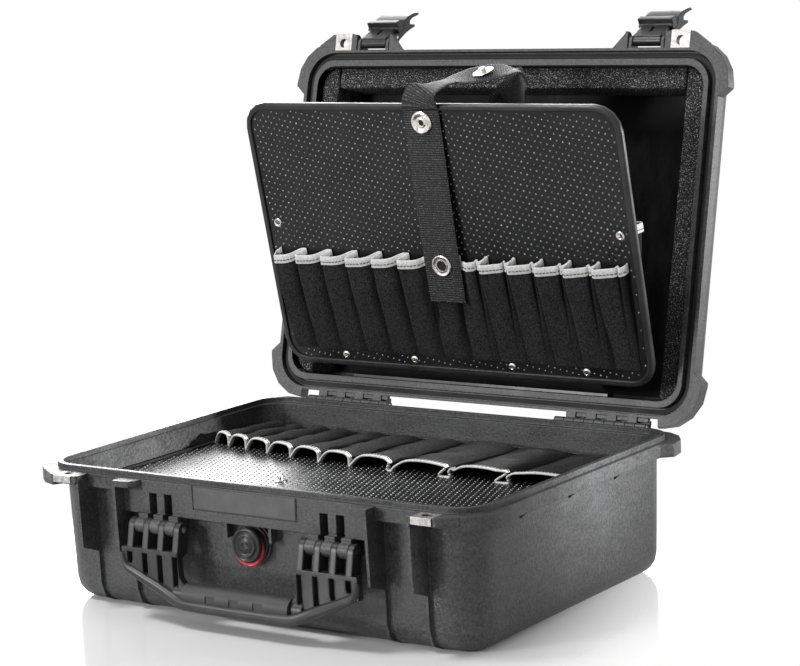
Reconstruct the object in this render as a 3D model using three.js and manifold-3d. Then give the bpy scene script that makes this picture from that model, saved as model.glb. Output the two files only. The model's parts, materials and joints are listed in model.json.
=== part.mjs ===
// Hard chef knife case: a moulded carrying case with a hinged lid, two latches, a folding handle and two
// pocketed knife boards. Millimetres, X to the right, Y to the back, Z up, origin under the base's middle.
// The lid, its board and the latches are drawn shut and then turned to the open pose about their own axes.
import * as THREE from 'three';
import { mergeVertices } from 'three/addons/utils/BufferGeometryUtils.js';
import Module from 'manifold-3d';

const wasm = await Module();
wasm.setup();

// Driving dimensions of the base. Half sizes are from the middle; depth and thickness run along the part.
const WALL_HALF_X = 228.5;
const WALL_HALF_Y = 162.5;
const SEAM_Z = 123.4;
const SEAM_GAP = 0.4;
const WALL = 4;
const WALL_CORNER_R = 30;
const WALL_DRAFT = 0.022;
const BOTTOM_EDGE_R = 20;
const FIT = 0.3;

// Flange round the base's mouth, and the tongue that enters the lid's groove
const FLANGE_HALF_X = WALL_HALF_X + 9.5;
const FLANGE_HALF_Y = WALL_HALF_Y + 10.8;
const FLANGE_CORNER_R = 34;
const FLANGE_T = 12.2;
const TONGUE_HALF_X = FLANGE_HALF_X - 5;
const TONGUE_HALF_Y = FLANGE_HALF_Y - 4;
const TONGUE_T = 5;
const TONGUE_H = 4.7;
const TONGUE_CORNER_R = 30;
const GROOVE_CLEAR = 1.3;

// Corner bumpers and padlock lugs
const BUMPER_R = 42;
const BUMPER_OUT = 9.5;
const BUMPER_HALF_X = FLANGE_HALF_X + BUMPER_OUT;
const BUMPER_REAR_Y = FLANGE_HALF_Y + 8.5;
const BUMPER_START_Y = BUMPER_REAR_Y - BUMPER_R - 12.8;
const LUG_OUTER_X = FLANGE_HALF_X - 31;
const LUG_WIDTH = 28;
const LUG_INNER_X = LUG_OUTER_X - LUG_WIDTH;
const LUG_FRONT_Y = -FLANGE_HALF_Y - 15.9;
const LUG_T = 7;
const HOLE_X = LUG_OUTER_X - 13.3;
const HOLE_Y = LUG_FRONT_Y + 8.7;
const HOLE_R = 4.75;
const PLATE_T = 0.8;
const PLATE_HALF_W = 10;
const PLATE_DEPTH = 16;
const PLATE_LIP = 6.5;

// Front ribs that guard the latches
const RIB_SPAN = 43;
const RIB_OUTER_X = LUG_INNER_X - 0.2;
const RIB_INNER_X = RIB_OUTER_X - RIB_SPAN;
const RIB_T = 3;
const RIB_FRONT_Y = LUG_FRONT_Y + 2;
const RIB_TIP_Z = SEAM_Z - 65.9;
const RIB_ROOT_Z = RIB_TIP_Z - 7.5;
const FOOT_RIB_PROUD = 5;

// Front band over the handle and the purge valve
const BAND_FRONT_Y = -FLANGE_HALF_Y - 1.1;
const BAND_HEIGHT = 29.9;
const BAND_BOTTOM_Z = SEAM_Z - BAND_HEIGHT;
const NAMEPLATE_HALF_X = 56;
const NAMEPLATE_Z = SEAM_Z - 20.9;
const SHELF_LENGTH = 22;
const SHELF_T = 5.4;

// Carrying handle
const KNUCKLE_R = 7;
const HANDLE_Y = BAND_FRONT_Y - 4.6;
const HANDLE_Z = BAND_BOTTOM_Z - 9.5;
const HANDLE_PIN_R = 2.5;
const GRIP_HALF_X = 66;
const FIN_T = 6;
const FIN_PITCH = 17;
const FIN_X = [0, 1, 2, 3].map((n) => GRIP_HALF_X + FIN_T / 4 + n * FIN_PITCH);
const HANDLE_HALF_X = FIN_X[3] + 9.8;
const HANDLE_PLATE_Y = HANDLE_Y - 11.5;
const HANDLE_PLATE_T = 7;
const HANDLE_STEP_Z = HANDLE_Z - 18;
const HANDLE_SHOULDER_Z = HANDLE_STEP_Z - 20;
const HANDLE_BOTTOM_Z = HANDLE_Z - 65.5;
const GRIP_HEIGHT = 21;
const GRIP_DEPTH = 20;
const GRIP_SKIN = 3;

// Purge valve
const VALVE_Z = BAND_BOTTOM_Z - 17.5;
const VALVE_BODY_R = 17.5;
const VALVE_RING_R = VALVE_BODY_R - 0.9;
const VALVE_RING_W = 6;
const VALVE_KNOB_R = 13;
const VALVE_STEM_R = 5;
const VALVE_BOSS_Y = -WALL_HALF_Y - 2;

// Lid
const LID_WALL_HALF_X = WALL_HALF_X - 2.5;
const LID_WALL_HALF_Y = WALL_HALF_Y - 1.5;
const LID_HEIGHT = 54;
const LID_FLANGE_T = 12;
const LID_TOP_R = 16;
const LID_OPEN_DEG = 104;
const HINGE_Y = FLANGE_HALF_Y + 9.4;
const HINGE_Z = SEAM_Z + 0.7;
const HINGE_R = 4.5;
const HINGE_PIN_R = 1.8;
const HINGE_CENTRE_X = WALL_HALF_X - 83.5;
const HINGE_PITCH = 22;
const KNUCKLE_W = HINGE_PITCH / 2 - 2 * FIT;
const GASKET_W = 4.4;
const GASKET_H = 3;

// Foam liners in the lid and under the base board
const FOAM_W = 22;
const LID_FOAM_RECESS = 7.7;
const FOAM_GAP = 0.4;

// Latches
const LATCH_X = (RIB_OUTER_X + RIB_INNER_X) / 2;
const LATCH_Y = -FLANGE_HALF_Y - 7.7;
const LATCH_Z = SEAM_Z + 6.1;
const LATCH_BAR_HALF = RIB_SPAN / 2 - 3.1;
const LATCH_NECK_HALF = LATCH_BAR_HALF - 3.4;
const LATCH_OPEN_DEG = 140;
const LATCH_PIN_R = 1.8;
const LATCH_HUB_R = 5.3;
const LATCH_LUG_T = 3.2;
const LEVER_DROP = 13;
const LEVER_OUT = 0.5;
const LEVER_PIN_R = 1.6;
const LEVER_LENGTH = 58;

// Boards with knife pockets
const BOARD_T = 3;
const TRIM_W = 6;
const TRIM_T = 6;
const BASE_BOARD_HALF_X = WALL_HALF_X - 9.5;
const BASE_BOARD_HALF_Y = WALL_HALF_Y - 13.5;
const BASE_BOARD_BOTTOM_Z = SEAM_Z - 23.4;
const LID_BOARD_HALF_X = LID_WALL_HALF_X - 15;
const LID_BOARD_HEIGHT = 2 * LID_WALL_HALF_Y - 51;
const BOARD_CORNER_R = 26;
const FABRIC_T = 1.2;
const BINDING_T = 2;
const BINDING_W = 6;

// Base board pockets from left to right: widths as shares of the row, and how far each seam's mouth lies
// in front of the back edge
const BASE_WIDTHS = [16, 25, 30.5, 32, 38, 37.5, 46.5, 61, 61, 64.5];
const BASE_MOUTHS = [50, 43, 38, 32, 26, 19, 16, 14, 13, 13, 13].map((y) => y + WALL_HALF_Y - 162.5);
const BASE_POCKET_HALF = BASE_BOARD_HALF_X - 13;
const BASE_POCKET_BACK = BASE_BOARD_HALF_Y - 11;
const BASE_ARCH = 12.4;
const BASE_ARCH_BACK = 3.5;
const ROW = BASE_WIDTHS.reduce((sum, width) => sum + width, 0);
const BASE_SEAMS = [0, ...BASE_WIDTHS.map((width, i) => BASE_WIDTHS.slice(0, i + 1).reduce((a, b) => a + b,
  0))]
  .map((along) => BASE_POCKET_HALF * ((2 * along) / ROW - 1));

// Lid board pockets
const FRONT_POCKETS = 13;
const FRONT_POCKET_HALF = LID_BOARD_HALF_X - 13;
const POCKET_LOW = 17;
const FRONT_POCKET_MOUTH = 121;
const POCKET_BULGE = 6;
const BACK_POCKETS = 4;
const BACK_POCKET_HALF = LID_BOARD_HALF_X - 25;
const BACK_POCKET_MOUTH = 150;

// The front face of the lid board's foot, shut and leaning, in the shut lid's own Y and Z
const BOARD_SHUT = { y: LID_WALL_HALF_Y - 31, z: SEAM_Z + 2.7 };
const BOARD_LEANING = { y: LID_WALL_HALF_Y - 14.9, z: SEAM_Z - 15.7 };
const BOARD_LEAN_DEG = 25.7;
const FLAP_T = 1.5;
const FLAP_TOP = POCKET_LOW - 1;
const FLAP_ROOT = { y: LID_WALL_HALF_Y - WALL - 3.6, z: SEAM_Z + 9.6 };
const FLAP_HALF_X = LID_BOARD_HALF_X - 65;
const RIVET_X = [56, FLAP_HALF_X - 8];
const RIVET_H = FLAP_TOP - 4.4;
const RIVET_R = 3.6;
const EYELET_X = LID_BOARD_HALF_X - 17;
const EYELET_H = 148;

// Strap on the lid board
const STRAP_W = 40;
const STRAP_T = 1.6;
const SNAP_H = LID_BOARD_HEIGHT - 17;
const SNAP_R = 10.5;
const RING_H = FRONT_POCKET_MOUTH - 7;
const STRAP_END_H = 77;
const STRAP_OFF = 2.7;
const TAIL_OFF = 7.5;

// Materials
const mouldedPlastic = () => new THREE.MeshStandardMaterial({ color: 0x2a2b2d, roughness: 0.55,
  metalness: 0 });
const gripRubber = () => new THREE.MeshStandardMaterial({ color: 0x1d1e20, roughness: 0.75, metalness: 0 });
const steel = () => new THREE.MeshStandardMaterial({ color: 0xc9c6bd, roughness: 0.3, metalness: 1 });
const redRubber = () => new THREE.MeshStandardMaterial({ color: 0xb8232e, roughness: 0.4, metalness: 0 });
const sealRubber = () => new THREE.MeshStandardMaterial({ color: 0x111214, roughness: 0.6, metalness: 0 });
const foam = () => new THREE.MeshStandardMaterial({ color: 0x18181a, roughness: 0.95, metalness: 0 });
const boardPlastic = () => new THREE.MeshStandardMaterial({ color: 0x101113, roughness: 0.25,
  metalness: 0 });
const fabric = () => new THREE.MeshStandardMaterial({ color: 0x151517, roughness: 0.95, metalness: 0 });
const bindingTape = () => new THREE.MeshStandardMaterial({ color: 0x9c9c98, roughness: 0.8, metalness: 0 });
const webbing = () => new THREE.MeshStandardMaterial({ color: 0x1b1d20, roughness: 0.7, metalness: 0 });

// Solids from geometries and back
function solidOf(geometry) {
  const bare = geometry.index ? geometry.toNonIndexed() : geometry.clone();
  bare.deleteAttribute('normal');
  bare.deleteAttribute('uv');
  const merged = mergeVertices(bare, 1e-4);
  return new wasm.Manifold(new wasm.Mesh({
    numProp: 3,
    vertProperties: new Float32Array(merged.attributes.position.array),
    triVerts: new Uint32Array(merged.index.array),
  }));
}

function geometryOf(solid) {
  const mesh = solid.getMesh();
  const geometry = new THREE.BufferGeometry();
  geometry.setAttribute('position', new THREE.BufferAttribute(mesh.vertProperties, 3));
  geometry.setIndex(new THREE.BufferAttribute(mesh.triVerts, 1));
  geometry.computeVertexNormals();
  return geometry;
}

const union = (first, ...rest) => rest.reduce((sum, next) => sum.add(next), first);
const cut = (body, ...tools) => tools.reduce((left, tool) => left.subtract(tool), body);

// Axis-aligned box between two corners
function box(x0, x1, y0, y1, z0, z1) {
  const shape = new THREE.BoxGeometry(x1 - x0, y1 - y0, z1 - z0);
  shape.translate((x0 + x1) / 2, (y0 + y1) / 2, (z0 + z1) / 2);
  return solidOf(shape);
}

// Prism along X from an outline of [y, z] points, along Y from [x, z] points, along Z from [x, y] points
function prism(axis, outline, from, to, curveSegments = 6) {
  const shape = outline instanceof THREE.Shape ? outline : new THREE.Shape(outline.map(([a,
    b]) => new THREE.Vector2(a, b)));
  const geometry = new THREE.ExtrudeGeometry(shape,
    { depth: to - from, bevelEnabled: false, curveSegments });
  const basis = new THREE.Matrix4();
  if (axis === 'x') {
    basis.makeBasis(new THREE.Vector3(0, 1, 0), new THREE.Vector3(0, 0, 1), new THREE.Vector3(1, 0, 0));
    basis.setPosition(from, 0, 0);
  } else if (axis === 'y') {
    basis.makeBasis(new THREE.Vector3(1, 0, 0), new THREE.Vector3(0, 0, 1), new THREE.Vector3(0, -1, 0));
    basis.setPosition(0, to, 0);
  } else {
    basis.setPosition(0, 0, from);
  }
  geometry.applyMatrix4(basis);
  return solidOf(geometry);
}

// Round bar along an axis through (a, b), the other two coordinates in X, Y, Z order
function bar(axis, radius, from, to, a, b, sides = 16) {
  const geometry = new THREE.CylinderGeometry(radius, radius, to - from, sides);
  if (axis === 'x') {
    geometry.rotateZ(Math.PI / 2);
    geometry.translate((from + to) / 2, a, b);
  } else if (axis === 'z') {
    geometry.rotateX(Math.PI / 2);
    geometry.translate(a, b, (from + to) / 2);
  } else {
    geometry.translate(a, (from + to) / 2, b);
  }
  return solidOf(geometry);
}

function roundedRect(halfX, halfY, radius) {
  const shape = new THREE.Shape();
  shape.moveTo(halfX, -halfY + radius);
  shape.lineTo(halfX, halfY - radius);
  shape.absarc(halfX - radius, halfY - radius, radius, 0, Math.PI / 2);
  shape.lineTo(-halfX + radius, halfY);
  shape.absarc(-halfX + radius, halfY - radius, radius, Math.PI / 2, Math.PI);
  shape.lineTo(-halfX, -halfY + radius);
  shape.absarc(-halfX + radius, -halfY + radius, radius, Math.PI, Math.PI * 1.5);
  shape.lineTo(halfX - radius, -halfY);
  shape.absarc(halfX - radius, -halfY + radius, radius, Math.PI * 1.5, Math.PI * 2);
  return shape;
}

// Closed surface through rings that have equal numbers of points, with flat ends
function loft(rings) {
  const count = rings[0].length;
  const points = [...rings.flat(), centreOf(rings[0]), centreOf(rings[rings.length - 1])];
  const faces = [];
  for (let ring = 0; ring + 1 < rings.length; ring += 1) {
    for (let i = 0; i < count; i += 1) {
      const a = ring * count + i;
      const b = ring * count + (i + 1) % count;
      faces.push(a, b, b + count, a, b + count, a + count);
    }
  }
  const top = (rings.length - 1) * count;
  for (let i = 0; i < count; i += 1) {
    const next = (i + 1) % count;
    faces.push(points.length - 2, next, i);
    faces.push(points.length - 1, top + i, top + next);
  }
  return solidOf(surface(points, faces));
}

function centreOf(ring) {
  const sum = ring.reduce((total, point) => total.map((value, k) => value + point[k]), [0, 0, 0]);
  return sum.map((value) => value / ring.length);
}

function surface(points, faces) {
  const geometry = new THREE.BufferGeometry();
  geometry.setAttribute('position', new THREE.Float32BufferAttribute(points.flat(), 3));
  geometry.setIndex(faces);
  return geometry;
}

// Rounded-rectangle ring at a height
function ringAt(halfX, halfY, radius, z, steps = 5) {
  const points = [];
  const corners = [[1, -1, -90], [1, 1, 0], [-1, 1, 90], [-1, -1, 180]];
  for (const [sx, sy, start] of corners) {
    for (let i = 0; i <= steps; i += 1) {
      const turn = THREE.MathUtils.degToRad(start + (90 * i) / steps);
      const x = sx * (halfX - radius) + radius * Math.cos(turn);
      const y = sy * (halfY - radius) + radius * Math.sin(turn);
      points.push([x, y, z]);
    }
  }
  return points;
}

// Tray form: half sizes at the seam, drafted towards a rounded edge at the far face. inset shrinks it all
// round.
function trayForm({ halfX, halfY, cornerR, seamZ, farZ, edgeR, inset = 0, farInset = inset, reach = 0 }) {
  const way = Math.sign(farZ - seamZ);
  const far = farZ - way * farInset;
  const edge = Math.max(edgeR - inset, 2);
  const shrink = (z) => inset + WALL_DRAFT * Math.abs(z - seamZ);
  const at = (z, extra) => ringAt(halfX - shrink(z) - extra, halfY - shrink(z) - extra,
    Math.max(cornerR - inset - extra, 3), z);
  const rings = [at(seamZ - way * reach, 0), at(far - way * edge, 0)];
  const steps = 4;
  for (let i = 1; i <= steps; i += 1) {
    const turn = (Math.PI / 2) * (i / steps);
    rings.push(at(far - way * edge * (1 - Math.sin(turn)), edge * (1 - Math.cos(turn))));
  }
  return loft(way > 0 ? rings : rings.reverse());
}

const baseForm = (inset, farInset, reach = 0) => trayForm({
  halfX: WALL_HALF_X, halfY: WALL_HALF_Y, cornerR: WALL_CORNER_R, seamZ: SEAM_Z, farZ: 0,
    edgeR: BOTTOM_EDGE_R,
  inset, farInset, reach,
});

const LID_SEAM_Z = SEAM_Z + SEAM_GAP;
const LID_TOP_Z = SEAM_Z + LID_HEIGHT;
const lidForm = (inset, farInset, reach = 0) => trayForm({
  halfX: LID_WALL_HALF_X, halfY: LID_WALL_HALF_Y, cornerR: WALL_CORNER_R - 6, seamZ: LID_SEAM_Z,
    farZ: LID_TOP_Z,
  edgeR: LID_TOP_R, inset, farInset, reach,
});

const mirrored = (side, outline) => (side > 0 ? outline : outline.map(([a, b]) => [-a, b]).reverse());

// Corner bumpers with the padlock lugs, shared by the flanges of base and lid
function bumpers(z0, z1, lugZ0, lugZ1) {
  const parts = [];
  const arc = (cx, cy, from, to) => {
    const points = [];
    for (let i = 0; i <= 4; i += 1) {
      const turn = THREE.MathUtils.degToRad(from + ((to - from) * i) / 4);
      points.push([cx + BUMPER_R * Math.cos(turn), cy + BUMPER_R * Math.sin(turn)]);
    }
    return points;
  };
  const inX = LUG_OUTER_X + 1;
  const arcX = BUMPER_HALF_X - BUMPER_R;
  for (const side of [-1, 1]) {
    const front = [
      [inX, -BUMPER_START_Y], [inX, -FLANGE_HALF_Y + 6], [LUG_OUTER_X, -FLANGE_HALF_Y + 1],
      ...arc(arcX, -BUMPER_REAR_Y + BUMPER_R, -80, 0),
      [BUMPER_HALF_X, -BUMPER_START_Y - BUMPER_OUT], [FLANGE_HALF_X - 1, -BUMPER_START_Y],
    ];
    const rear = [
      [inX, BUMPER_START_Y], [FLANGE_HALF_X - 1, BUMPER_START_Y],
        [BUMPER_HALF_X, BUMPER_START_Y + BUMPER_OUT],
      ...arc(arcX, BUMPER_REAR_Y - BUMPER_R, 0, 90), [arcX - 1, FLANGE_HALF_Y - 6],
        [inX, FLANGE_HALF_Y - 8],
    ];
    const lug = [
      [LUG_INNER_X, -FLANGE_HALF_Y + 3], [LUG_INNER_X, LUG_FRONT_Y], [LUG_OUTER_X, LUG_FRONT_Y],
      [LUG_OUTER_X + 16, -BUMPER_REAR_Y + 3.5], [LUG_OUTER_X + 16, -FLANGE_HALF_Y + 3],
    ];
    parts.push(prism('z', mirrored(side, front), z0, z1));
    parts.push(prism('z', mirrored(side, rear), z0, z1));
    parts.push(prism('z', mirrored(side, lug), lugZ0, lugZ1));
  }
  return union(...parts);
}

// Room for the steel plate that wraps each padlock lug, and the hole through it
function padlockCuts(faceZ, way) {
  const cuts = [];
  for (const side of [-1, 1]) {
    const x0 = side * HOLE_X - PLATE_HALF_W - FIT;
    const x1 = side * HOLE_X + PLATE_HALF_W + FIT;
    const depth = PLATE_T + FIT;
    const zs = [faceZ - way, faceZ + way * depth].sort((a, b) => a - b);
    cuts.push(box(x0, x1, LUG_FRONT_Y - 3, LUG_FRONT_Y + PLATE_DEPTH + FIT, ...zs));
    cuts.push(bar('z', HOLE_R + FIT, faceZ - 20, faceZ + 20, side * HOLE_X, HOLE_Y, 12));
  }
  return cuts;
}

function padlockPlate(side, faceZ, way) {
  const x0 = side * HOLE_X - PLATE_HALF_W;
  const x1 = side * HOLE_X + PLATE_HALF_W;
  const inner = faceZ + way * PLATE_T;
  const low = faceZ + way * PLATE_LIP;
  const face = box(x0, x1, LUG_FRONT_Y - FIT - PLATE_T, LUG_FRONT_Y + PLATE_DEPTH, Math.min(faceZ, inner),
    Math.max(faceZ, inner));
  const lip = box(x0, x1, LUG_FRONT_Y - FIT - PLATE_T, LUG_FRONT_Y - FIT, Math.min(faceZ, low),
    Math.max(faceZ, low));
  return cut(union(face, lip), bar('z', HOLE_R, faceZ - 10, faceZ + 10, side * HOLE_X, HOLE_Y, 12));
}

// Base shell
function guardRib(x) {
  const wallY = -WALL_HALF_Y + 2;
  const low = -WALL_HALF_Y + WALL_DRAFT * SEAM_Z;
  const outline = [
    [wallY + 2, SEAM_Z], [RIB_FRONT_Y, SEAM_Z], [RIB_FRONT_Y + 2.2, RIB_TIP_Z],
    [low - FOOT_RIB_PROUD, RIB_ROOT_Z], [low - FOOT_RIB_PROUD + 0.6, BOTTOM_EDGE_R],
    [low - FOOT_RIB_PROUD + 5.5, 6], [low + 14, 0], [low + BOTTOM_EDGE_R + 12, 0],
      [low + BOTTOM_EDGE_R + 12, 3],
    [low + BOTTOM_EDGE_R, 3], [low + 5, 12], [wallY + 2, RIB_ROOT_Z],
  ];
  return prism('x', outline, x - RIB_T / 2, x + RIB_T / 2);
}

function rearRib(x) {
  const low = WALL_HALF_Y - WALL_DRAFT * SEAM_Z;
  const outline = [
    [WALL_HALF_Y - 3, SEAM_Z - 8], [WALL_HALF_Y - 4, RIB_ROOT_Z], [low - 5, 12], [low - BOTTOM_EDGE_R, 3],
    [low - BOTTOM_EDGE_R - 12, 3], [low - BOTTOM_EDGE_R - 12, 0], [low - 14, 0],
      [low + FOOT_RIB_PROUD - 5.5, 6],
    [low + FOOT_RIB_PROUD - 0.6, BOTTOM_EDGE_R], [WALL_HALF_Y + FOOT_RIB_PROUD, SEAM_Z - 8],
  ];
  return prism('x', outline, x - RIB_T / 2, x + RIB_T / 2);
}

function sideGusset(side, y) {
  const out = FLANGE_HALF_X - 1;
  const outline = mirrored(side,
    [[WALL_HALF_X - 3, SEAM_Z - FLANGE_T + 1], [WALL_HALF_X - 3, SEAM_Z - FLANGE_T - 7],
    [WALL_HALF_X - 0.5, SEAM_Z - FLANGE_T - 7], [out, SEAM_Z - FLANGE_T + 1]]);
  return prism('y', outline, y - 1.2, y + 1.2);
}

// The knuckles' places along the hinge, base knuckles at both ends
const lidKnuckles = [-1.5, -0.5, 0.5, 1.5].map((n) => n * HINGE_PITCH);
const baseKnuckles = [-2, -1, 0, 1, 2].map((n) => n * HINGE_PITCH);

function hingeArms(side, places, from, z0, z1) {
  const arms = places.map((place) => {
    const x = side * HINGE_CENTRE_X + place;
    const leaf = box(x - KNUCKLE_W / 2, x + KNUCKLE_W / 2, from, HINGE_Y, z0, z1);
    return union(leaf, bar('x', HINGE_R, x - KNUCKLE_W / 2, x + KNUCKLE_W / 2, HINGE_Y, HINGE_Z, 10));
  });
  return union(...arms);
}

const hingeBore = (side) => bar('x', HINGE_PIN_R + FIT, side * HINGE_CENTRE_X - 3 * HINGE_PITCH,
  side * HINGE_CENTRE_X + 3 * HINGE_PITCH, HINGE_Y, HINGE_Z, 8);

// Both ends of the row of handle fins on one side, outwards by the given amount
const finRow = (side, beyond) => [side * (FIN_X[0] - FIN_T / 2 - beyond),
  side * (FIN_X[3] + FIN_T / 2 + beyond)]
  .sort((a, b) => a - b);
const handleBore = (side) => bar('x', HANDLE_PIN_R + FIT, ...finRow(side, 4), HANDLE_Y, HANDLE_Z, 8);
const handlePin = (side) => bar('x', HANDLE_PIN_R, ...finRow(side, 0), HANDLE_Y, HANDLE_Z, 12);

function handleMount(side) {
  const parts = [];
  for (let i = 0; i + 1 < FIN_X.length; i += 1) {
    const x = (side * (FIN_X[i] + FIN_X[i + 1])) / 2;
    const half = (FIN_X[i + 1] - FIN_X[i] - FIN_T) / 2 - FIT;
    parts.push(box(x - half, x + half, HANDLE_Y, -WALL_HALF_Y + 3, HANDLE_Z - KNUCKLE_R,
      BAND_BOTTOM_Z + 1));
    parts.push(bar('x', KNUCKLE_R, x - half, x + half, HANDLE_Y, HANDLE_Z, 12));
  }
  return union(...parts);
}

function bandSlots() {
  const slots = [];
  for (const side of [-1, 1]) {
    for (const x of FIN_X) {
      const half = FIN_T / 2 + 1.3;
      slots.push(box(side * x - half, side * x + half, BAND_FRONT_Y - 5, -WALL_HALF_Y - 0.6, HANDLE_Z - 14,
        BAND_BOTTOM_Z));
    }
    for (const x of FIN_X.slice(1, 3)) {
      const half = FIN_T / 2 + 1.3;
      slots.push(box(side * x - half, side * x + half, BAND_FRONT_Y - 5, -WALL_HALF_Y - 0.6,
        BAND_BOTTOM_Z - 1, SEAM_Z - 10.9));
    }
  }
  return slots;
}

function nameplateLine() {
  const line = 0.8;
  const y0 = BAND_FRONT_Y - 1;
  const y1 = BAND_FRONT_Y + 0.8;
  const x = NAMEPLATE_HALF_X;
  const top = SEAM_Z + 1;
  return [
    box(-x - line, -x, y0, y1, NAMEPLATE_Z - line, top),
    box(x, x + line, y0, y1, NAMEPLATE_Z - line, top),
    box(-x, x, y0, y1, NAMEPLATE_Z - line, NAMEPLATE_Z),
  ];
}

function baseShell() {
  const flangeLow = SEAM_Z - FLANGE_T;
  const flange = prism('z', roundedRect(FLANGE_HALF_X, FLANGE_HALF_Y, FLANGE_CORNER_R), flangeLow, SEAM_Z,
    5);
  const tongueOuter = prism('z', roundedRect(TONGUE_HALF_X, TONGUE_HALF_Y, TONGUE_CORNER_R), SEAM_Z - 2,
    SEAM_Z + TONGUE_H, 5);
  const tongueInner = prism('z',
    roundedRect(TONGUE_HALF_X - TONGUE_T, TONGUE_HALF_Y - TONGUE_T, TONGUE_CORNER_R - TONGUE_T),
    SEAM_Z, SEAM_Z + TONGUE_H + 2, 5);
  const ribs = [-1, 1].flatMap((side) => [guardRib(side * RIB_OUTER_X), guardRib(side * RIB_INNER_X),
    rearRib(side * RIB_OUTER_X), rearRib(side * RIB_INNER_X)]);
  const band = cut(box(-RIB_INNER_X, RIB_INNER_X, BAND_FRONT_Y, -WALL_HALF_Y + 3, BAND_BOTTOM_Z, SEAM_Z),
    ...nameplateLine());
  const shelves = [-1, 1].map((side) => prism('z', mirrored(side, [
    [RIB_INNER_X, RIB_FRONT_Y], [RIB_INNER_X, BAND_FRONT_Y + 2],
      [RIB_INNER_X - SHELF_LENGTH, BAND_FRONT_Y + 2],
    [RIB_INNER_X - SHELF_LENGTH + 1.5, BAND_FRONT_Y - 5],
      [RIB_INNER_X - SHELF_LENGTH + 6, RIB_FRONT_Y + 1.5],
    [RIB_INNER_X - SHELF_LENGTH + 10, RIB_FRONT_Y]].reverse()), SEAM_Z - SHELF_T, SEAM_Z));
  const gussets = [-1, 1].flatMap((side) => [-0.57, -0.09,
    0.39].map((share) => sideGusset(side, share * WALL_HALF_Y)));
  const valveGussets = [-1, 1].map((side) => {
    const x = side * (VALVE_BODY_R + 6.5);
    return box(x - RIB_T / 2, x + RIB_T / 2, BAND_FRONT_Y + 3, -WALL_HALF_Y + 3, BAND_BOTTOM_Z - 14,
      BAND_BOTTOM_Z + 1);
  });
  const boss = bar('y', VALVE_BODY_R + 2, VALVE_BOSS_Y, -WALL_HALF_Y + 4, 0, VALVE_Z, 12);
  const hinges = [-1, 1].map((side) => hingeArms(side, baseKnuckles, FLANGE_HALF_Y - 3, SEAM_Z - 5,
    SEAM_Z - 0.2));
  let body = union(baseForm(0), flange, band, ...ribs, ...shelves, ...gussets, ...valveGussets, boss,
    handleMount(-1), handleMount(1), bumpers(flangeLow, SEAM_Z, SEAM_Z - LUG_T, SEAM_Z));
  body = cut(body, ...bandSlots());
  body = union(body, tongueOuter, handleMount(-1), handleMount(1));
  const slack = FIN_T / 2 + FIT;
  const finRoom = [-1, 1].flatMap((side) => FIN_X.map((x) => bar('x', KNUCKLE_R + 1, side * x - slack,
    side * x + slack, HANDLE_Y, HANDLE_Z, 12)));
  body = cut(body, baseForm(WALL, WALL, 3), tongueInner, ...padlockCuts(SEAM_Z, -1), ...finRoom);
  body = union(body, ...hinges);
  const handleBores = [-1, 1].map((side) => handleBore(side));
  const stem = bar('y', VALVE_STEM_R + FIT, VALVE_BOSS_Y - 2, -WALL_HALF_Y + WALL + 8, 0, VALVE_Z, 12);
  return cut(body, hingeBore(-1), hingeBore(1), ...handleBores, stem);
}

const hingePin = (side) => {
  const half = baseKnuckles[4] + KNUCKLE_W / 2;
  return bar('x', HINGE_PIN_R, side * HINGE_CENTRE_X - half, side * HINGE_CENTRE_X + half, HINGE_Y, HINGE_Z,
    8);
};

// Foam liners: strips of a tray's cavity, one foam thickness wide
function foamStrips(cavity, halfX, halfY, z0, z1) {
  const inner = halfX - FOAM_W;
  const innerY = halfY - FOAM_W;
  const band = (x0, x1, y0, y1) => cavity.intersect(box(x0, x1, y0, y1, z0, z1));
  return {
    left: band(-halfX, -inner, -halfY, halfY),
    right: band(inner, halfX, -halfY, halfY),
    front: band(-inner + FIT, inner - FIT, -halfY, -innerY),
    back: band(-inner + FIT, inner - FIT, innerY, halfY),
  };
}

const baseFoam = foamStrips(baseForm(WALL + FOAM_GAP, WALL + FOAM_GAP), WALL_HALF_X - WALL,
  WALL_HALF_Y - WALL, 1, BASE_BOARD_BOTTOM_Z - (TRIM_T - BOARD_T) / 2 - FIT);
const lidFoam = foamStrips(lidForm(WALL + FOAM_GAP, WALL + FOAM_GAP), LID_WALL_HALF_X - WALL,
  LID_WALL_HALF_Y - WALL, SEAM_Z + LID_FOAM_RECESS, LID_TOP_Z - 1);

// Purge valve: a threaded body in the front wall, a red ring behind the knob and the knob
function valveBody() {
  const inner = -WALL_HALF_Y + WALL;
  const face = bar('y', VALVE_BODY_R, VALVE_BOSS_Y - FIT - 2, VALVE_BOSS_Y - FIT, 0, VALVE_Z, 20);
  const stem = bar('y', VALVE_STEM_R, VALVE_BOSS_Y - 1, inner + 5, 0, VALVE_Z, 12);
  const spigot = bar('y', VALVE_STEM_R + 1, VALVE_BOSS_Y - 6, VALVE_BOSS_Y - 1, 0, VALVE_Z, 12);
  const nut = bar('y', VALVE_STEM_R + 3, inner + 4, inner + 8, 0, VALVE_Z, 6);
  return union(face, stem, spigot, nut);
}

function valveRing() {
  const y1 = VALVE_BOSS_Y - 2 - 2 * FIT;
  const outer = bar('y', VALVE_RING_R, y1 - 2.2, y1, 0, VALVE_Z, 20);
  return cut(outer, bar('y', VALVE_RING_R - VALVE_RING_W, y1 - 4, y1 + 2, 0, VALVE_Z, 20));
}

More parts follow.
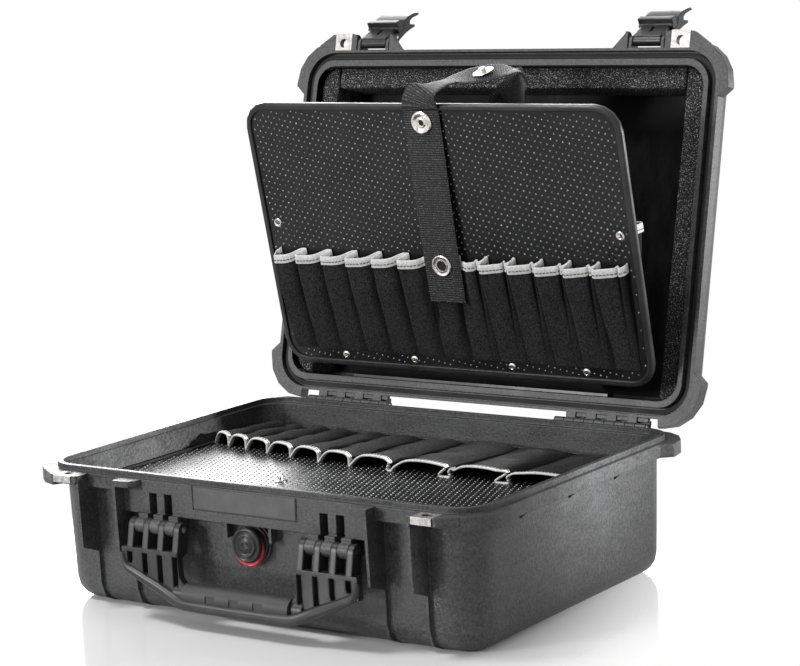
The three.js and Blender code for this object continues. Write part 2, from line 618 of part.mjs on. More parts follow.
function valveKnob() {
  const y0 = VALVE_BOSS_Y - 11.5;
  const back = VALVE_BOSS_Y - 2 - 3 * FIT - 2.2;
  const disc = bar('y', VALVE_KNOB_R, y0, back, 0, VALVE_Z, 20);
  const slots = [0, 1, 2].map((n) => {
    const turn = (n * 2 * Math.PI) / 3 + 0.4;
    return bar('y', 1.2, y0 - 1, y0 + 1, 6.4 * Math.cos(turn), VALVE_Z + 6.4 * Math.sin(turn), 8);
  });
  const dish = cut(bar('y', 10.6, y0 - 1, y0 + 0.8, 0, VALVE_Z, 16),
    bar('y', 8.6, y0 - 2, y0 + 2, 0, VALVE_Z, 16));
  return cut(disc, bar('y', VALVE_STEM_R + 1 + FIT, VALVE_BOSS_Y - 6 - FIT, back + 1, 0, VALVE_Z, 12), dish,
    ...slots);
}

// Handle: two finned arms joined by a grip
function handleFrame() {
  const y0 = HANDLE_PLATE_Y;
  const y1 = HANDLE_PLATE_Y + HANDLE_PLATE_T;
  const parts = [];
  for (const side of [-1, 1]) {
    const arm = mirrored(side, [
      [GRIP_HALF_X - 8, HANDLE_BOTTOM_Z + 2], [GRIP_HALF_X + 2, HANDLE_BOTTOM_Z],
        [HANDLE_HALF_X, HANDLE_SHOULDER_Z],
      [HANDLE_HALF_X - 1, HANDLE_STEP_Z], [FIN_X[0] - FIN_T / 2, HANDLE_STEP_Z],
        [FIN_X[0] - FIN_T / 2 - 1, 44],
      [GRIP_HALF_X - 8, HANDLE_BOTTOM_Z + GRIP_HEIGHT - 2],
    ]);
    const plate = prism('y', arm, y0, y1);
    const slots = FIN_X.map((x, i) => {
      const half = FIN_T / 2;
      const low = HANDLE_BOTTOM_Z + 7.5 + i * 8.3;
      const slot = box(side * x - half, side * x + half, y0 - 2, y1 + 2, low + half, HANDLE_STEP_Z - 4);
      return union(slot, bar('y', half, y0 - 2, y1 + 2, side * x, low + half, 8));
    });
    parts.push(cut(plate, ...slots));
    for (const x of FIN_X) {
      const fin = prism('x', [
        [HANDLE_Y + KNUCKLE_R - 1, HANDLE_Z], [HANDLE_Y + 3, HANDLE_STEP_Z - 3],
          [y1 - 1, HANDLE_STEP_Z - 6],
        [y0, HANDLE_STEP_Z - 3], [y0 + 1.5, HANDLE_STEP_Z + 3], [HANDLE_Y - KNUCKLE_R, HANDLE_Z]],
      side * x - FIN_T / 2, side * x + FIN_T / 2);
      parts.push(fin, bar('x', KNUCKLE_R, side * x - FIN_T / 2, side * x + FIN_T / 2, HANDLE_Y, HANDLE_Z,
        12));
    }
  }
  const core = gripBar(GRIP_HALF_X + 4, GRIP_SKIN + FIT);
  const bores = [-1, 1].map((side) => handleBore(side));
  return cut(union(...parts, core), ...bores);
}

function gripBar(halfX, inset) {
  const shape = new THREE.Shape();
  const halfD = GRIP_DEPTH / 2 - inset;
  const halfH = GRIP_HEIGHT / 2 - inset;
  shape.absellipse(HANDLE_PLATE_Y + HANDLE_PLATE_T / 2, HANDLE_BOTTOM_Z + GRIP_HEIGHT / 2, halfD, halfH, 0,
    Math.PI * 2);
  return prism('x', shape, -halfX, halfX, 8);
}

function handleGrip() {
  const skin = cut(gripBar(GRIP_HALF_X - 8 - FIT, 0), gripBar(GRIP_HALF_X + 10, GRIP_SKIN));
  const panels = [-1, 0, 1].map((n) => {
    const x = n * 26;
    const face = HANDLE_PLATE_Y + HANDLE_PLATE_T / 2 - GRIP_DEPTH / 2;
    return box(x - 5, x + 5, face - 2, face + 1, HANDLE_BOTTOM_Z + 4, HANDLE_BOTTOM_Z + GRIP_HEIGHT - 4);
  });
  return cut(skin, ...panels);
}

// Lid shell, drawn shut
function lidShell() {
  const top = SEAM_Z + LID_FLANGE_T + SEAM_GAP;
  const flange = prism('z', roundedRect(FLANGE_HALF_X, FLANGE_HALF_Y, FLANGE_CORNER_R), LID_SEAM_Z, top, 5);
  const grooveOut = prism('z', roundedRect(TONGUE_HALF_X + GROOVE_CLEAR, TONGUE_HALF_Y + GROOVE_CLEAR,
    TONGUE_CORNER_R + GROOVE_CLEAR),
    LID_SEAM_Z - 1, SEAM_Z + TONGUE_H + FIT + GASKET_H + FIT, 5);
  const land = TONGUE_T + GROOVE_CLEAR;
  const grooveIn = prism('z', roundedRect(TONGUE_HALF_X - land, TONGUE_HALF_Y - land,
    TONGUE_CORNER_R - land),
    LID_SEAM_Z - 2, top + 1, 5);
  const fins = [-1, 1].flatMap((side) => [side * RIB_INNER_X, side * RIB_OUTER_X].map((x) => prism('x', [
    [-LID_WALL_HALF_Y + 3, LID_SEAM_Z], [LUG_FRONT_Y, LID_SEAM_Z], [LUG_FRONT_Y, LID_SEAM_Z + 4],
    [-FLANGE_HALF_Y - 1, LID_SEAM_Z + 26], [-LID_WALL_HALF_Y - 1, LID_SEAM_Z + 34],
      [-LID_WALL_HALF_Y + 3, LID_SEAM_Z + 34]].reverse(),
  x - RIB_T / 2, x + RIB_T / 2)));
  const wings = [-1, 1].map((side) => prism('z', mirrored(side, [
    [RIB_INNER_X, LUG_FRONT_Y], [RIB_INNER_X, -FLANGE_HALF_Y + 2],
      [RIB_INNER_X - 16, -FLANGE_HALF_Y + 2]].reverse()),
  LID_SEAM_Z, LID_SEAM_Z + SHELF_T));
  const lugs = [-1, 1].flatMap((side) => [-1, 1].map((end) => {
    const out = side * LATCH_X + end * (LATCH_BAR_HALF + 0.4);
    const within = out - end * LATCH_LUG_T;
    const [x0, x1] = [Math.min(out, within), Math.max(out, within)];
    return union(box(x0, x1, LATCH_Y, -FLANGE_HALF_Y + 2, LATCH_Z - LATCH_HUB_R, LATCH_Z + LATCH_HUB_R),
      bar('x', LATCH_HUB_R, x0, x1, LATCH_Y, LATCH_Z, 16));
  }));
  const hinges = [-1, 1].map((side) => hingeArms(side, lidKnuckles, FLANGE_HALF_Y - 3, LID_SEAM_Z,
    LID_SEAM_Z + 4.8));
  const topRibs = [-1, 1].map((side) => box(side * RIB_INNER_X - 9, side * RIB_INNER_X + 9,
    -LID_WALL_HALF_Y + 41, LID_WALL_HALF_Y - 41, LID_TOP_Z - 4, LID_TOP_Z + 2));
  const topPanel = prism('z', roundedRect(RIB_INNER_X - 18, LID_WALL_HALF_Y - 49, 14), LID_TOP_Z - 3,
    LID_TOP_Z + 2, 5);
  let body = union(lidForm(0), flange, ...fins, ...wings, ...topRibs, topPanel,
    bumpers(LID_SEAM_Z, top, LID_SEAM_Z, LID_SEAM_Z + LUG_T));
  body = cut(body, lidForm(WALL, WALL, 3), grooveOut.subtract(grooveIn), ...padlockCuts(LID_SEAM_Z, 1));
  body = union(body, ...lugs, ...hinges);
  const latchBores = [-1, 1].map((side) => bar('x', LATCH_PIN_R + FIT,
    side * LATCH_X - LATCH_BAR_HALF - 0.2, side * LATCH_X + LATCH_BAR_HALF + 0.2, LATCH_Y, LATCH_Z, 12));
  return cut(body, hingeBore(-1), hingeBore(1), ...latchBores);
}

function lidGasket() {
  const off = TONGUE_T / 2 - GASKET_W / 2;
  const z0 = SEAM_Z + TONGUE_H + FIT;
  const outer = prism('z', roundedRect(TONGUE_HALF_X - off, TONGUE_HALF_Y - off, TONGUE_CORNER_R - off), z0,
    z0 + GASKET_H, 5);
  const inset = off + GASKET_W;
  const inner = prism('z', roundedRect(TONGUE_HALF_X - inset, TONGUE_HALF_Y - inset,
    TONGUE_CORNER_R - inset), z0 - 1, z0 + GASKET_H + 1, 5);
  return cut(outer, inner);
}

// Latch, drawn shut. An outline is in [out, down] from the latch pin.
const latchYZ = (outline) => outline.map(([out, down]) => [LATCH_Y - out, LATCH_Z - down]);

function latchHook(side) {
  const x = side * LATCH_X;
  const jawTop = LATCH_Z - (SEAM_Z - FLANGE_T) + FIT;
  const neckHalf = LATCH_NECK_HALF - FIT;
  const neck = prism('x', latchYZ([[-6.7, -2], [-6.7, jawTop], [-2.5, jawTop], [-2.5, -2]]), x - neckHalf,
    x + neckHalf);
  const hub = bar('x', LATCH_HUB_R, x - neckHalf, x + neckHalf, LATCH_Y, LATCH_Z, 16);
  const fill = prism('x', latchYZ([[-6.7, 0], [-6.7, 6], [0, 6], [4, 3], [4, 0]]), x - neckHalf,
    x + neckHalf);
  const boss = prism('x', latchYZ([[-3, 8.5], [-3, 17], [LEVER_OUT + 1, 17], [LEVER_OUT + 3.4, 15],
    [LEVER_OUT + 3.4, 11], [LEVER_OUT + 1, 8.5]]),
    x - neckHalf, x + neckHalf);
  const jaw = prism('x', latchYZ([[-13, jawTop + 0.5], [-12.4, jawTop + 6.5], [-9, jawTop + 7.2],
    [-2.5, jawTop + 7.2], [-2.5, jawTop - 1], [-6.7, jawTop - 1], [-6.7, jawTop + 0.5]]),
    x - LATCH_BAR_HALF, x + LATCH_BAR_HALF);
  const slit = box(x - 1.2, x + 1.2, LATCH_Y + 4.5, LATCH_Y + 8, LATCH_Z - jawTop + 2, LATCH_Z - 6);
  const pinBore = bar('x', LATCH_PIN_R + FIT, x - 20, x + 20, LATCH_Y, LATCH_Z, 12);
  const leverBore = bar('x', LEVER_PIN_R + FIT, x - 20, x + 20, LATCH_Y - LEVER_OUT, LATCH_Z - LEVER_DROP,
    12);
  return cut(union(neck, hub, fill, boss, jaw), slit, pinBore, leverBore);
}

function latchLever(side) {
  const x = side * LATCH_X;
  const armOut = LATCH_BAR_HALF;
  const armIn = LATCH_NECK_HALF + FIT;
  const arms = [-1, 1].map((end) => {
    const [x0, x1] = [x + end * armIn, x + end * armOut].sort((a, b) => a - b);
    const arm = prism('x', latchYZ([[-1.9, LEVER_DROP], [-1.9, 28], [4, 30], [4.6, LEVER_DROP]]), x0, x1);
    return union(arm, bar('x', 4.1, x0, x1, LATCH_Y - LEVER_OUT - 0.6, LATCH_Z - LEVER_DROP, 14));
  });
  const pad = prism('x', latchYZ([[-1.9, 27], [-8, 33.5], [-8, 40], [-6.5, 50], [-3, LEVER_LENGTH],
    [-0.5, LEVER_LENGTH],
    [-2, 52], [-3.4, 46], [-3, 41], [0, 39], [4.6, 46.5], [6.4, 45], [5, 38], [4, 27]]), x - armOut,
      x + armOut);
  const bore = bar('x', LEVER_PIN_R + FIT, x - 20, x + 20, LATCH_Y - LEVER_OUT, LATCH_Z - LEVER_DROP, 12);
  return cut(union(...arms, pad), bore);
}

const latchPin = (side) => bar('x', LATCH_PIN_R, side * LATCH_X - LATCH_BAR_HALF,
  side * LATCH_X + LATCH_BAR_HALF, LATCH_Y, LATCH_Z, 12);
const leverPin = (side) => bar('x', LEVER_PIN_R, side * LATCH_X - LATCH_BAR_HALF,
  side * LATCH_X + LATCH_BAR_HALF, LATCH_Y - LEVER_OUT, LATCH_Z - LEVER_DROP, 12);

// A board and its edge trim about the origin, lying flat from z = 0 to its thickness
function flatBoard(halfX, halfY) {
  const inset = TRIM_W / 2 + FIT;
  return prism('z', roundedRect(halfX - inset, halfY - inset, BOARD_CORNER_R - inset), 0, BOARD_T, 6);
}

function edgeTrim(halfX, halfY) {
  const lip = (TRIM_T - BOARD_T) / 2;
  const ring = (inset, z) => ringAt(halfX - inset, halfY - inset, BOARD_CORNER_R - inset, z, 4);
  const rings = [ring(1.4, -lip), ring(0, -lip + 1.4), ring(0, BOARD_T + lip - 1.4),
    ring(1.4, BOARD_T + lip)];
  const opening = prism('z', roundedRect(halfX - TRIM_W, halfY - TRIM_W, BOARD_CORNER_R - TRIM_W), -lip - 1,
    BOARD_T + lip + 1, 4);
  const channel = prism('z', roundedRect(halfX - TRIM_W / 2, halfY - TRIM_W / 2,
    BOARD_CORNER_R - TRIM_W / 2), -FIT, BOARD_T + FIT, 4);
  return cut(loft(rings), opening, channel);
}

// Sheet with thickness over a grid: place(u, v) gives the under side's point, lift the way to the upper
// side
function sheet(columns, rows, place, lift) {
  const points = [];
  for (const upper of [0, 1]) {
    for (let j = 0; j <= rows; j += 1) {
      for (let i = 0; i <= columns; i += 1) {
        const base = place(i, j);
        points.push(upper ? base.map((value, k) => value + lift[k]) : base);
      }
    }
  }
  const layer = (columns + 1) * (rows + 1);
  const at = (upper, i, j) => upper * layer + j * (columns + 1) + i;
  const faces = [];
  const quad = (a, b, c, d) => faces.push(a, b, c, a, c, d);
  for (let j = 0; j < rows; j += 1) {
    for (let i = 0; i < columns; i += 1) {
      quad(at(1, i, j), at(1, i + 1, j), at(1, i + 1, j + 1), at(1, i, j + 1));
      quad(at(0, i, j), at(0, i, j + 1), at(0, i + 1, j + 1), at(0, i + 1, j));
    }
    quad(at(0, 0, j), at(1, 0, j), at(1, 0, j + 1), at(0, 0, j + 1));
    quad(at(0, columns, j), at(0, columns, j + 1), at(1, columns, j + 1), at(1, columns, j));
  }
  for (let i = 0; i < columns; i += 1) {
    quad(at(0, i, 0), at(0, i + 1, 0), at(1, i + 1, 0), at(1, i, 0));
    quad(at(0, i, rows), at(1, i, rows), at(1, i + 1, rows), at(0, i + 1, rows));
  }
  return solidOf(surface(points, faces));
}

// Base pockets: a cloth whose arches run from the mouths at the middle to the back of the board
const BASE_BOARD_TOP = BASE_BOARD_BOTTOM_Z + BOARD_T;
const ARCH_STEPS = 6;
const arch = (share) => Math.sin(Math.PI * share) ** 0.55;

function baseCloth(from, to, rows, thickness, rise) {
  const pockets = BASE_SEAMS.length - 1;
  const place = (i, j) => {
    const pocket = Math.min(Math.floor(i / ARCH_STEPS), pockets - 1);
    const share = i / ARCH_STEPS - pocket;
    const x = THREE.MathUtils.lerp(BASE_SEAMS[pocket], BASE_SEAMS[pocket + 1], share);
    const mouth = THREE.MathUtils.lerp(BASE_MOUTHS[pocket], BASE_MOUTHS[pocket + 1], share);
    const y = THREE.MathUtils.lerp(from(mouth), to(mouth), j / rows);
    const depth = Math.max((y - mouth) / (BASE_POCKET_BACK - mouth), 0);
    const height = THREE.MathUtils.lerp(BASE_ARCH, BASE_ARCH_BACK, depth) - thickness + rise;
    return [x, y, BASE_BOARD_TOP + FIT + height * (share % 1 === 0 ? 0 : arch(share))];
  };
  return sheet(pockets * ARCH_STEPS, rows, place, [0, 0, thickness]);
}

const basePockets = () => baseCloth((mouth) => mouth, () => BASE_POCKET_BACK, 3, FABRIC_T, 0);
const baseBinding = () => baseCloth((mouth) => mouth - BINDING_W - FIT, (mouth) => mouth - FIT, 1,
  BINDING_T, 0.2);

// Lid board pieces are drawn with X across, Y up the board and Z out of its front face
function pleatedCloth({ pockets, half, low = POCKET_LOW, high, bulge, thickness, rows, gather, out }) {
  const profile = [[0, 0], [0.14, 1], [0.86, 1]];
  const place = (i, j) => {
    const pocket = Math.floor(i / profile.length);
    const [share, rise] = i === pockets * profile.length ? [0, 0] : profile[i % profile.length];
    const x = -half + ((pocket + share) * 2 * half) / pockets;
    const up = j / rows;
    const fullness = THREE.MathUtils.lerp(gather, 1, Math.min(up * 2, 1));
    const lift = FIT + (bulge - thickness - FIT) * rise * fullness;
    return [x, THREE.MathUtils.lerp(low, high, up), out > 0 ? lift : -BOARD_T - lift - thickness];
  };
  return sheet(pockets * profile.length, rows, place, [0, 0, thickness]);
}

const pocketCloth = (pockets, half, mouth, out) => pleatedCloth({
  pockets, half, high: mouth - BINDING_W - FIT, bulge: POCKET_BULGE, thickness: FABRIC_T, rows: 3,
    gather: 0.35, out,
});
const pocketBinding = (pockets, half, mouth, out) => pleatedCloth({
  pockets, half, low: mouth - BINDING_W, high: mouth, bulge: POCKET_BULGE + 0.2, thickness: BINDING_T,
    rows: 1, gather: 1, out,
});
const FRONT_ROW = [FRONT_POCKETS, FRONT_POCKET_HALF, FRONT_POCKET_MOUTH, 1];
const BACK_ROW = [BACK_POCKETS, BACK_POCKET_HALF, BACK_POCKET_MOUTH, -1];

function lidBoard() {
  const sheetBody = solidOf(geometryOf(flatBoard(LID_BOARD_HALF_X, LID_BOARD_HEIGHT / 2)).translate(0,
    LID_BOARD_HEIGHT / 2, -BOARD_T));
  const rivetHoles = rivetPlaces.map((x) => bar('z', 1.5 + FIT, -BOARD_T - 1, 1, x, RIVET_H, 8));
  const eyeletHoles = [-1, 1].map((side) => bar('z', 3 + FIT, -BOARD_T - 1, 1, side * EYELET_X, EYELET_H,
    12));
  const snapHole = bar('z', 1.5 + FIT, -BOARD_T - 1, 1, 0, SNAP_H, 10);
  return cut(sheetBody, ...rivetHoles, ...eyeletHoles, snapHole);
}

const rivetPlaces = [-RIVET_X[1], -RIVET_X[0], RIVET_X[0], RIVET_X[1]];
const lidTrim = () => solidOf(geometryOf(edgeTrim(LID_BOARD_HALF_X, LID_BOARD_HEIGHT / 2)).translate(0,
  LID_BOARD_HEIGHT / 2, -BOARD_T));

function flapRivet(x) {
  const rear = -BOARD_T - 2 * FIT - FLAP_T;
  return union(bar('z', RIVET_R, FIT, FIT + 1.4, x, RIVET_H, 8),
    bar('z', 1.5, rear - 1, FIT + 1, x, RIVET_H, 8),
    bar('z', RIVET_R, rear - FIT - 1.2, rear - FIT, x, RIVET_H, 8));
}

function eyelet(side) {
  const x = side * EYELET_X;
  const ring = union(bar('z', 5, FIT, FIT + 0.9, x, EYELET_H, 14),
    bar('z', 3, -BOARD_T - FIT - 0.5, FIT + 0.5, x, EYELET_H, 12),
    bar('z', 5, -BOARD_T - FIT - 0.9, -BOARD_T - FIT, x, EYELET_H, 14));
  return cut(ring, bar('z', 2.1, -10, 10, x, EYELET_H, 12));
}

// Ribbon through stations of { at: [x, y, z], across: unit vector, face: unit vector }
function ribbon(stations, width, thickness) {
  const rings = stations.map(({ at, across, face }) => [[-1, -1], [1, -1], [1, 1],
    [-1, 1]].map(([u, v]) => (
    at.map((value, k) => value + (across[k] * u * width) / 2 + (face[k] * v * thickness) / 2))));
  return loft(rings);
}

// Where the hanging strap's middle lies off the board's front face at a height
const aboveMouth = (share) => THREE.MathUtils.lerp(FRONT_POCKET_MOUTH, SNAP_H, share);
const TAIL_STATIONS = [
  [STRAP_END_H, TAIL_OFF + 0.1], [STRAP_END_H + 18, TAIL_OFF + 0.1], [FRONT_POCKET_MOUTH, TAIL_OFF],
    [aboveMouth(0.22), TAIL_OFF - 0.7],
  [aboveMouth(0.52), TAIL_OFF - 2.3], [aboveMouth(0.78), STRAP_OFF + 0.8], [SNAP_H - 14, STRAP_OFF],
    [SNAP_H + 12, STRAP_OFF],
];

function strapTail() {
  const stations = TAIL_STATIONS.map(([h, off]) => ({ at: [0, h, off], across: [-1, 0, 0],
    face: [0, 0, 1] }));
  return cut(ribbon(stations, STRAP_W, STRAP_T), bar('z', 1.5 + FIT, -2, 8, 0, SNAP_H, 8),
    bar('z', 3 + FIT, 2, 12, 0, RING_H, 12));
}

function snapCap() {
  const z0 = STRAP_OFF + STRAP_T / 2 + FIT;
  const profile = [[0, 0], [SNAP_R, 0], [SNAP_R, 0.8], [SNAP_R - 1.5, 2], [SNAP_R - 5, 2.8],
    [0, 3]].map(([r, h]) => new THREE.Vector2(r, h));
  const dome = new THREE.LatheGeometry(profile, 20);
  dome.rotateX(Math.PI / 2);
  dome.translate(0, SNAP_H, z0);
  return union(solidOf(dome), bar('z', 1.5, -BOARD_T - FIT, z0 + 1, 0, SNAP_H, 10),
    bar('z', 5, -BOARD_T - FIT - 1, -BOARD_T - FIT, 0, SNAP_H, 12));
}

function strapRing() {
  const off = TAIL_OFF;
  const near = off + STRAP_T / 2 + FIT;
  const body = union(bar('z', SNAP_R - 1, near, near + 0.8, 0, RING_H, 20),
    bar('z', 3, off - STRAP_T / 2 - 0.2, near + 0.5, 0, RING_H, 12));
  return cut(body, bar('z', 2, off, near + 2, 0, RING_H, 12));
}

// Turning a group about a line along X through (y, z)
function turned(content, y, z, degrees) {
  const inner = new THREE.Group();
  inner.position.set(0, -y, -z);
  inner.add(content);
  const outer = new THREE.Group();
  outer.position.set(0, y, z);
  outer.rotation.x = THREE.MathUtils.degToRad(degrees);
  outer.add(inner);
  return outer;
}

// The centre of the turn that carries the board's foot from its shut place to its leaning place
function leanCentre() {
  const dy = BOARD_LEANING.y - BOARD_SHUT.y;
  const dz = BOARD_LEANING.z - BOARD_SHUT.z;
  const reach = 0.5 / Math.tan(THREE.MathUtils.degToRad(BOARD_LEAN_DEG) / 2);
  return { y: (BOARD_SHUT.y + BOARD_LEANING.y) / 2 - dz * reach,
    z: (BOARD_SHUT.z + BOARD_LEANING.z) / 2 + dy * reach };
}
const LEAN_AT = leanCentre();

// A point of the leaning board, height and distance in front of its face, in the shut lid's Y and Z
function leaning(height, off) {
  const lean = THREE.MathUtils.degToRad(BOARD_LEAN_DEG);
  const dy = BOARD_SHUT.y - height - LEAN_AT.y;
  const dz = BOARD_SHUT.z - off - LEAN_AT.z;
  return [LEAN_AT.y + dy * Math.cos(lean) - dz * Math.sin(lean),
    LEAN_AT.z + dy * Math.sin(lean) + dz * Math.cos(lean)];
}

// A way seen in the open pose, as it is drawn in the shut lid
const OPEN = THREE.MathUtils.degToRad(LID_OPEN_DEG);
const shutWay = ([x, y, z]) => [x, y * Math.cos(OPEN) - z * Math.sin(OPEN),
  y * Math.sin(OPEN) + z * Math.cos(OPEN)];

// Strap over the board's top edge. It turns to the right with its stud on top, folds back under itself and
// hangs down to the lid's ceiling. Each place is measured in the open pose from the board's top edge, and
// has the way across the strap there.
const LOOP_START = leaning(LID_BOARD_HEIGHT, STRAP_OFF);
const OVER_THE_BOARD = [
  [[5, 0.8, 12], [0.98, -0.2, -0.07]],
  [[9.5, 6, 16], [0.89, -0.45, -0.06]],
  [[13.5, 14, 18.5], [0.77, -0.63, -0.02]],
  [[17.5, 23, 19.8], [0.66, -0.75, -0.02]],
  [[26, 33, 22], [0.69, -0.7, -0.18]],
  [[36, 41.5, 24.2], [0.69, -0.67, -0.27]],
  [[47, 50, 26.4], [0.69, -0.67, -0.27]],
  [[59, 58.5, 27.6], [0.67, -0.71, -0.2]],
  [[68, 65.5, 26.3], [0.58, -0.81, 0]],
  [[71, 70, 21], [0.6, -0.78, -0.08]],
  [[68, 73, 14], [0.56, -0.67, -0.49]],
  [[61, 77, 6], [0.63, -0.35, -0.68]],
  [[51, 83, -2], [0.75, -0.1, -0.6]],
  [[40, 91, -9], [0.88, 0.15, -0.4]],
  [[29, 103, -15], [0.95, 0.25, -0.15]],
  [[17, 122, -22], [1, 0.1, 0]],
];

// The loop's last stretch runs along the lid's ceiling, measured in the shut lid
const LOOP_END = [-LID_WALL_HALF_Y + 101, LID_TOP_Z - WALL - FIT - STRAP_T / 2 - 0.5];
const DOWN_TO_THE_LID = [[-28.3, -18.1], [-15.6, -3], [-9.9, 0], [0, 0], [10.1, 0]];
const LOOP_STEPS = 46;
const LOOP_STUD_STEP = 16;

function loopStations() {
  const flat = [1, 0, 0];
  const path = [SNAP_H + 12.4, LID_BOARD_HEIGHT].map((h) => ({ at: [0, ...leaning(h, STRAP_OFF)],
    across: flat }));
  for (const [from, across] of OVER_THE_BOARD) {
    const [x, y, z] = shutWay(from);
    path.push({ at: [x, LOOP_START[0] + y, LOOP_START[1] + z], across: shutWay(across) });
  }
  for (const [y, z] of DOWN_TO_THE_LID) {
    path.push({ at: [6, LOOP_END[0] + y, LOOP_END[1] + z], across: flat });
  }
  const curve = new THREE.CatmullRomCurve3(path.map(({ at }) => new THREE.Vector3(...at)), false,
    'centripetal');
  const stations = [];
  for (let i = 0; i <= LOOP_STEPS; i += 1) {
    const t = i / LOOP_STEPS;
    const tangent = curve.getTangent(t);
    const place = t * (path.length - 1);
    const low = Math.min(Math.floor(place), path.length - 2);
    const across = new THREE.Vector3(...path[low].across).lerp(new THREE.Vector3(...path[low + 1].across),
      place - low);
    across.addScaledVector(tangent, -across.dot(tangent)).normalize().negate();
    const face = new THREE.Vector3().crossVectors(across, tangent).negate();
    stations.push({ at: curve.getPoint(t).toArray(), across: across.toArray(), face: face.toArray() });
  }
  return stations;
}

// The loop and its stud: the stud's collar sits on the strap's upper face, its post goes through the strap
function strapLoop() {
  return cut(ribbon(loopStations(), STRAP_W, STRAP_T), studBar(2.2 + FIT, -3, 3));
}

function strapLoopStud() {
  const top = STRAP_T / 2 + FIT;
  return union(studBar(SNAP_R - 1.5, top, top + 1), studBar(2.2, -top - 1, top + 3),
    studBar(5, -top - 1, -top));
}

// Round bar square to the loop at the stud's place, between two heights above the strap's middle
function studBar(radius, from, to) {
  const stations = loopStations();
  const place = stations[LOOP_STUD_STEP];
  const up = new THREE.Vector3(...place.face);
  const geometry = new THREE.CylinderGeometry(radius, radius, to - from, 12);
  geometry.translate(0, (from + to) / 2, 0);
  geometry.applyQuaternion(new THREE.Quaternion().setFromUnitVectors(new THREE.Vector3(0, 1, 0), up));
  geometry.translate(...place.at);
  return solidOf(geometry);
}

// Flexible flap from the lid's hinge-side wall to the back of the leaning board
function boardFlap() {
  const rear = -BOARD_T - FIT;
  const root = FLAP_ROOT;
  const clear = rear - (TRIM_T - BOARD_T) / 2;
  const outline = [
    leaning(FLAP_TOP, rear - FLAP_T), leaning(FLAP_TOP, rear), leaning(7, rear), leaning(6.3, clear),
      leaning(0, clear),
    [root.y, root.z - 2], [root.y, root.z + 8], [root.y - FLAP_T, root.z + 8],
      [root.y - FLAP_T, root.z - 1.4],
    leaning(0.8, clear - FLAP_T), leaning(6.6, clear - FLAP_T), leaning(7.6, rear - FLAP_T),
  ];
  const sheetBody = prism('x', outline, -FLAP_HALF_X, FLAP_HALF_X);
  const holes = rivetPlaces.map((x) => {
    const [y0, z0] = leaning(RIVET_H, rear + 4);
    const [y1, z1] = leaning(RIVET_H, rear - 8);
    const hole = new THREE.CylinderGeometry(1.5 + FIT, 1.5 + FIT, 12, 10);
    hole.rotateX(Math.atan2(z1 - z0, y1 - y0));
    hole.translate(x, (y0 + y1) / 2, (z0 + z1) / 2);
    return solidOf(hole);
  });
  return cut(sheetBody, ...holes);
}

const flapAnchor = () => box(-FLAP_HALF_X, FLAP_HALF_X, FLAP_ROOT.y + FIT, LID_WALL_HALF_Y - WALL - 0.8,
  FLAP_ROOT.z - 3, FLAP_ROOT.z + 9);

// Scene graph
function piece(name, solid, material) {
  const mesh = new THREE.Mesh(geometryOf(solid), material);
  mesh.name = name;
  return mesh;
}

const sideName = (side) => (side < 0 ? 'left' : 'right');

const hingeGroup = new THREE.Group();
const latchGroups = [-1, 1].map((side) => {
  const latch = new THREE.Group();
  const name = sideName(side);
  latch.add(piece(`latch_hook_${name}`, latchHook(side), mouldedPlastic()));
  latch.add(piece(`latch_lever_${name}`, latchLever(side), mouldedPlastic()));
  latch.add(piece(`lever_pin_${name}`, leverPin(side), steel()));
  return turned(latch, LATCH_Y, LATCH_Z, -LATCH_OPEN_DEG);
});

// The lid board's axes: its foot's front face at the shut place, height towards the front, face down
const board = new THREE.Group();
board.add(piece('lid_board', lidBoard(), boardPlastic()));
board.add(piece('lid_board_trim', lidTrim(), sealRubber()));
board.add(piece('lid_board_front_pockets', pocketCloth(...FRONT_ROW), fabric()));
board.add(piece('lid_board_front_binding', pocketBinding(...FRONT_ROW), bindingTape()));
board.add(piece('lid_board_back_pockets', pocketCloth(...BACK_ROW), fabric()));
board.add(piece('lid_board_back_binding', pocketBinding(...BACK_ROW), bindingTape()));
rivetPlaces.forEach((x, i) => board.add(piece(`flap_rivet_${i + 1}`, flapRivet(x), steel())));
board.add(piece('lid_board_eyelet_left', eyelet(-1), steel()));
board.add(piece('lid_board_eyelet_right', eyelet(1), steel()));
board.add(piece('strap_tail', strapTail(), webbing()));
board.add(piece('strap_snap_cap', snapCap(), steel()));
board.add(piece('strap_snap_socket', strapRing(), steel()));
board.rotation.x = Math.PI;
board.position.set(0, BOARD_SHUT.y, BOARD_SHUT.z);
const leaningBoard = turned(board, LEAN_AT.y, LEAN_AT.z, BOARD_LEAN_DEG);

const lid = new THREE.Group();
lid.add(piece('lid_shell', lidShell(), mouldedPlastic()));
lid.add(piece('lid_gasket', lidGasket(), sealRubber()));
lid.add(piece('lid_foam_top', lidFoam.front, foam()));
lid.add(piece('lid_foam_left', lidFoam.left, foam()));
lid.add(piece('lid_foam_right', lidFoam.right, foam()));
lid.add(piece('flap_anchor_strip', flapAnchor(), boardPlastic()));
lid.add(piece('lid_board_flap', boardFlap(), sealRubber()));
lid.add(piece('strap_loop', strapLoop(), webbing()));
lid.add(piece('strap_loop_stud', strapLoopStud(), steel()));
for (const side of [-1, 1]) {
  lid.add(piece(`lid_padlock_plate_${sideName(side)}`, padlockPlate(side, LID_SEAM_Z, 1), steel()));
  lid.add(piece(`latch_pin_${sideName(side)}`, latchPin(side), steel()));
}
lid.add(...latchGroups, leaningBoard);
hingeGroup.add(turned(lid, HINGE_Y, HINGE_Z, -LID_OPEN_DEG));

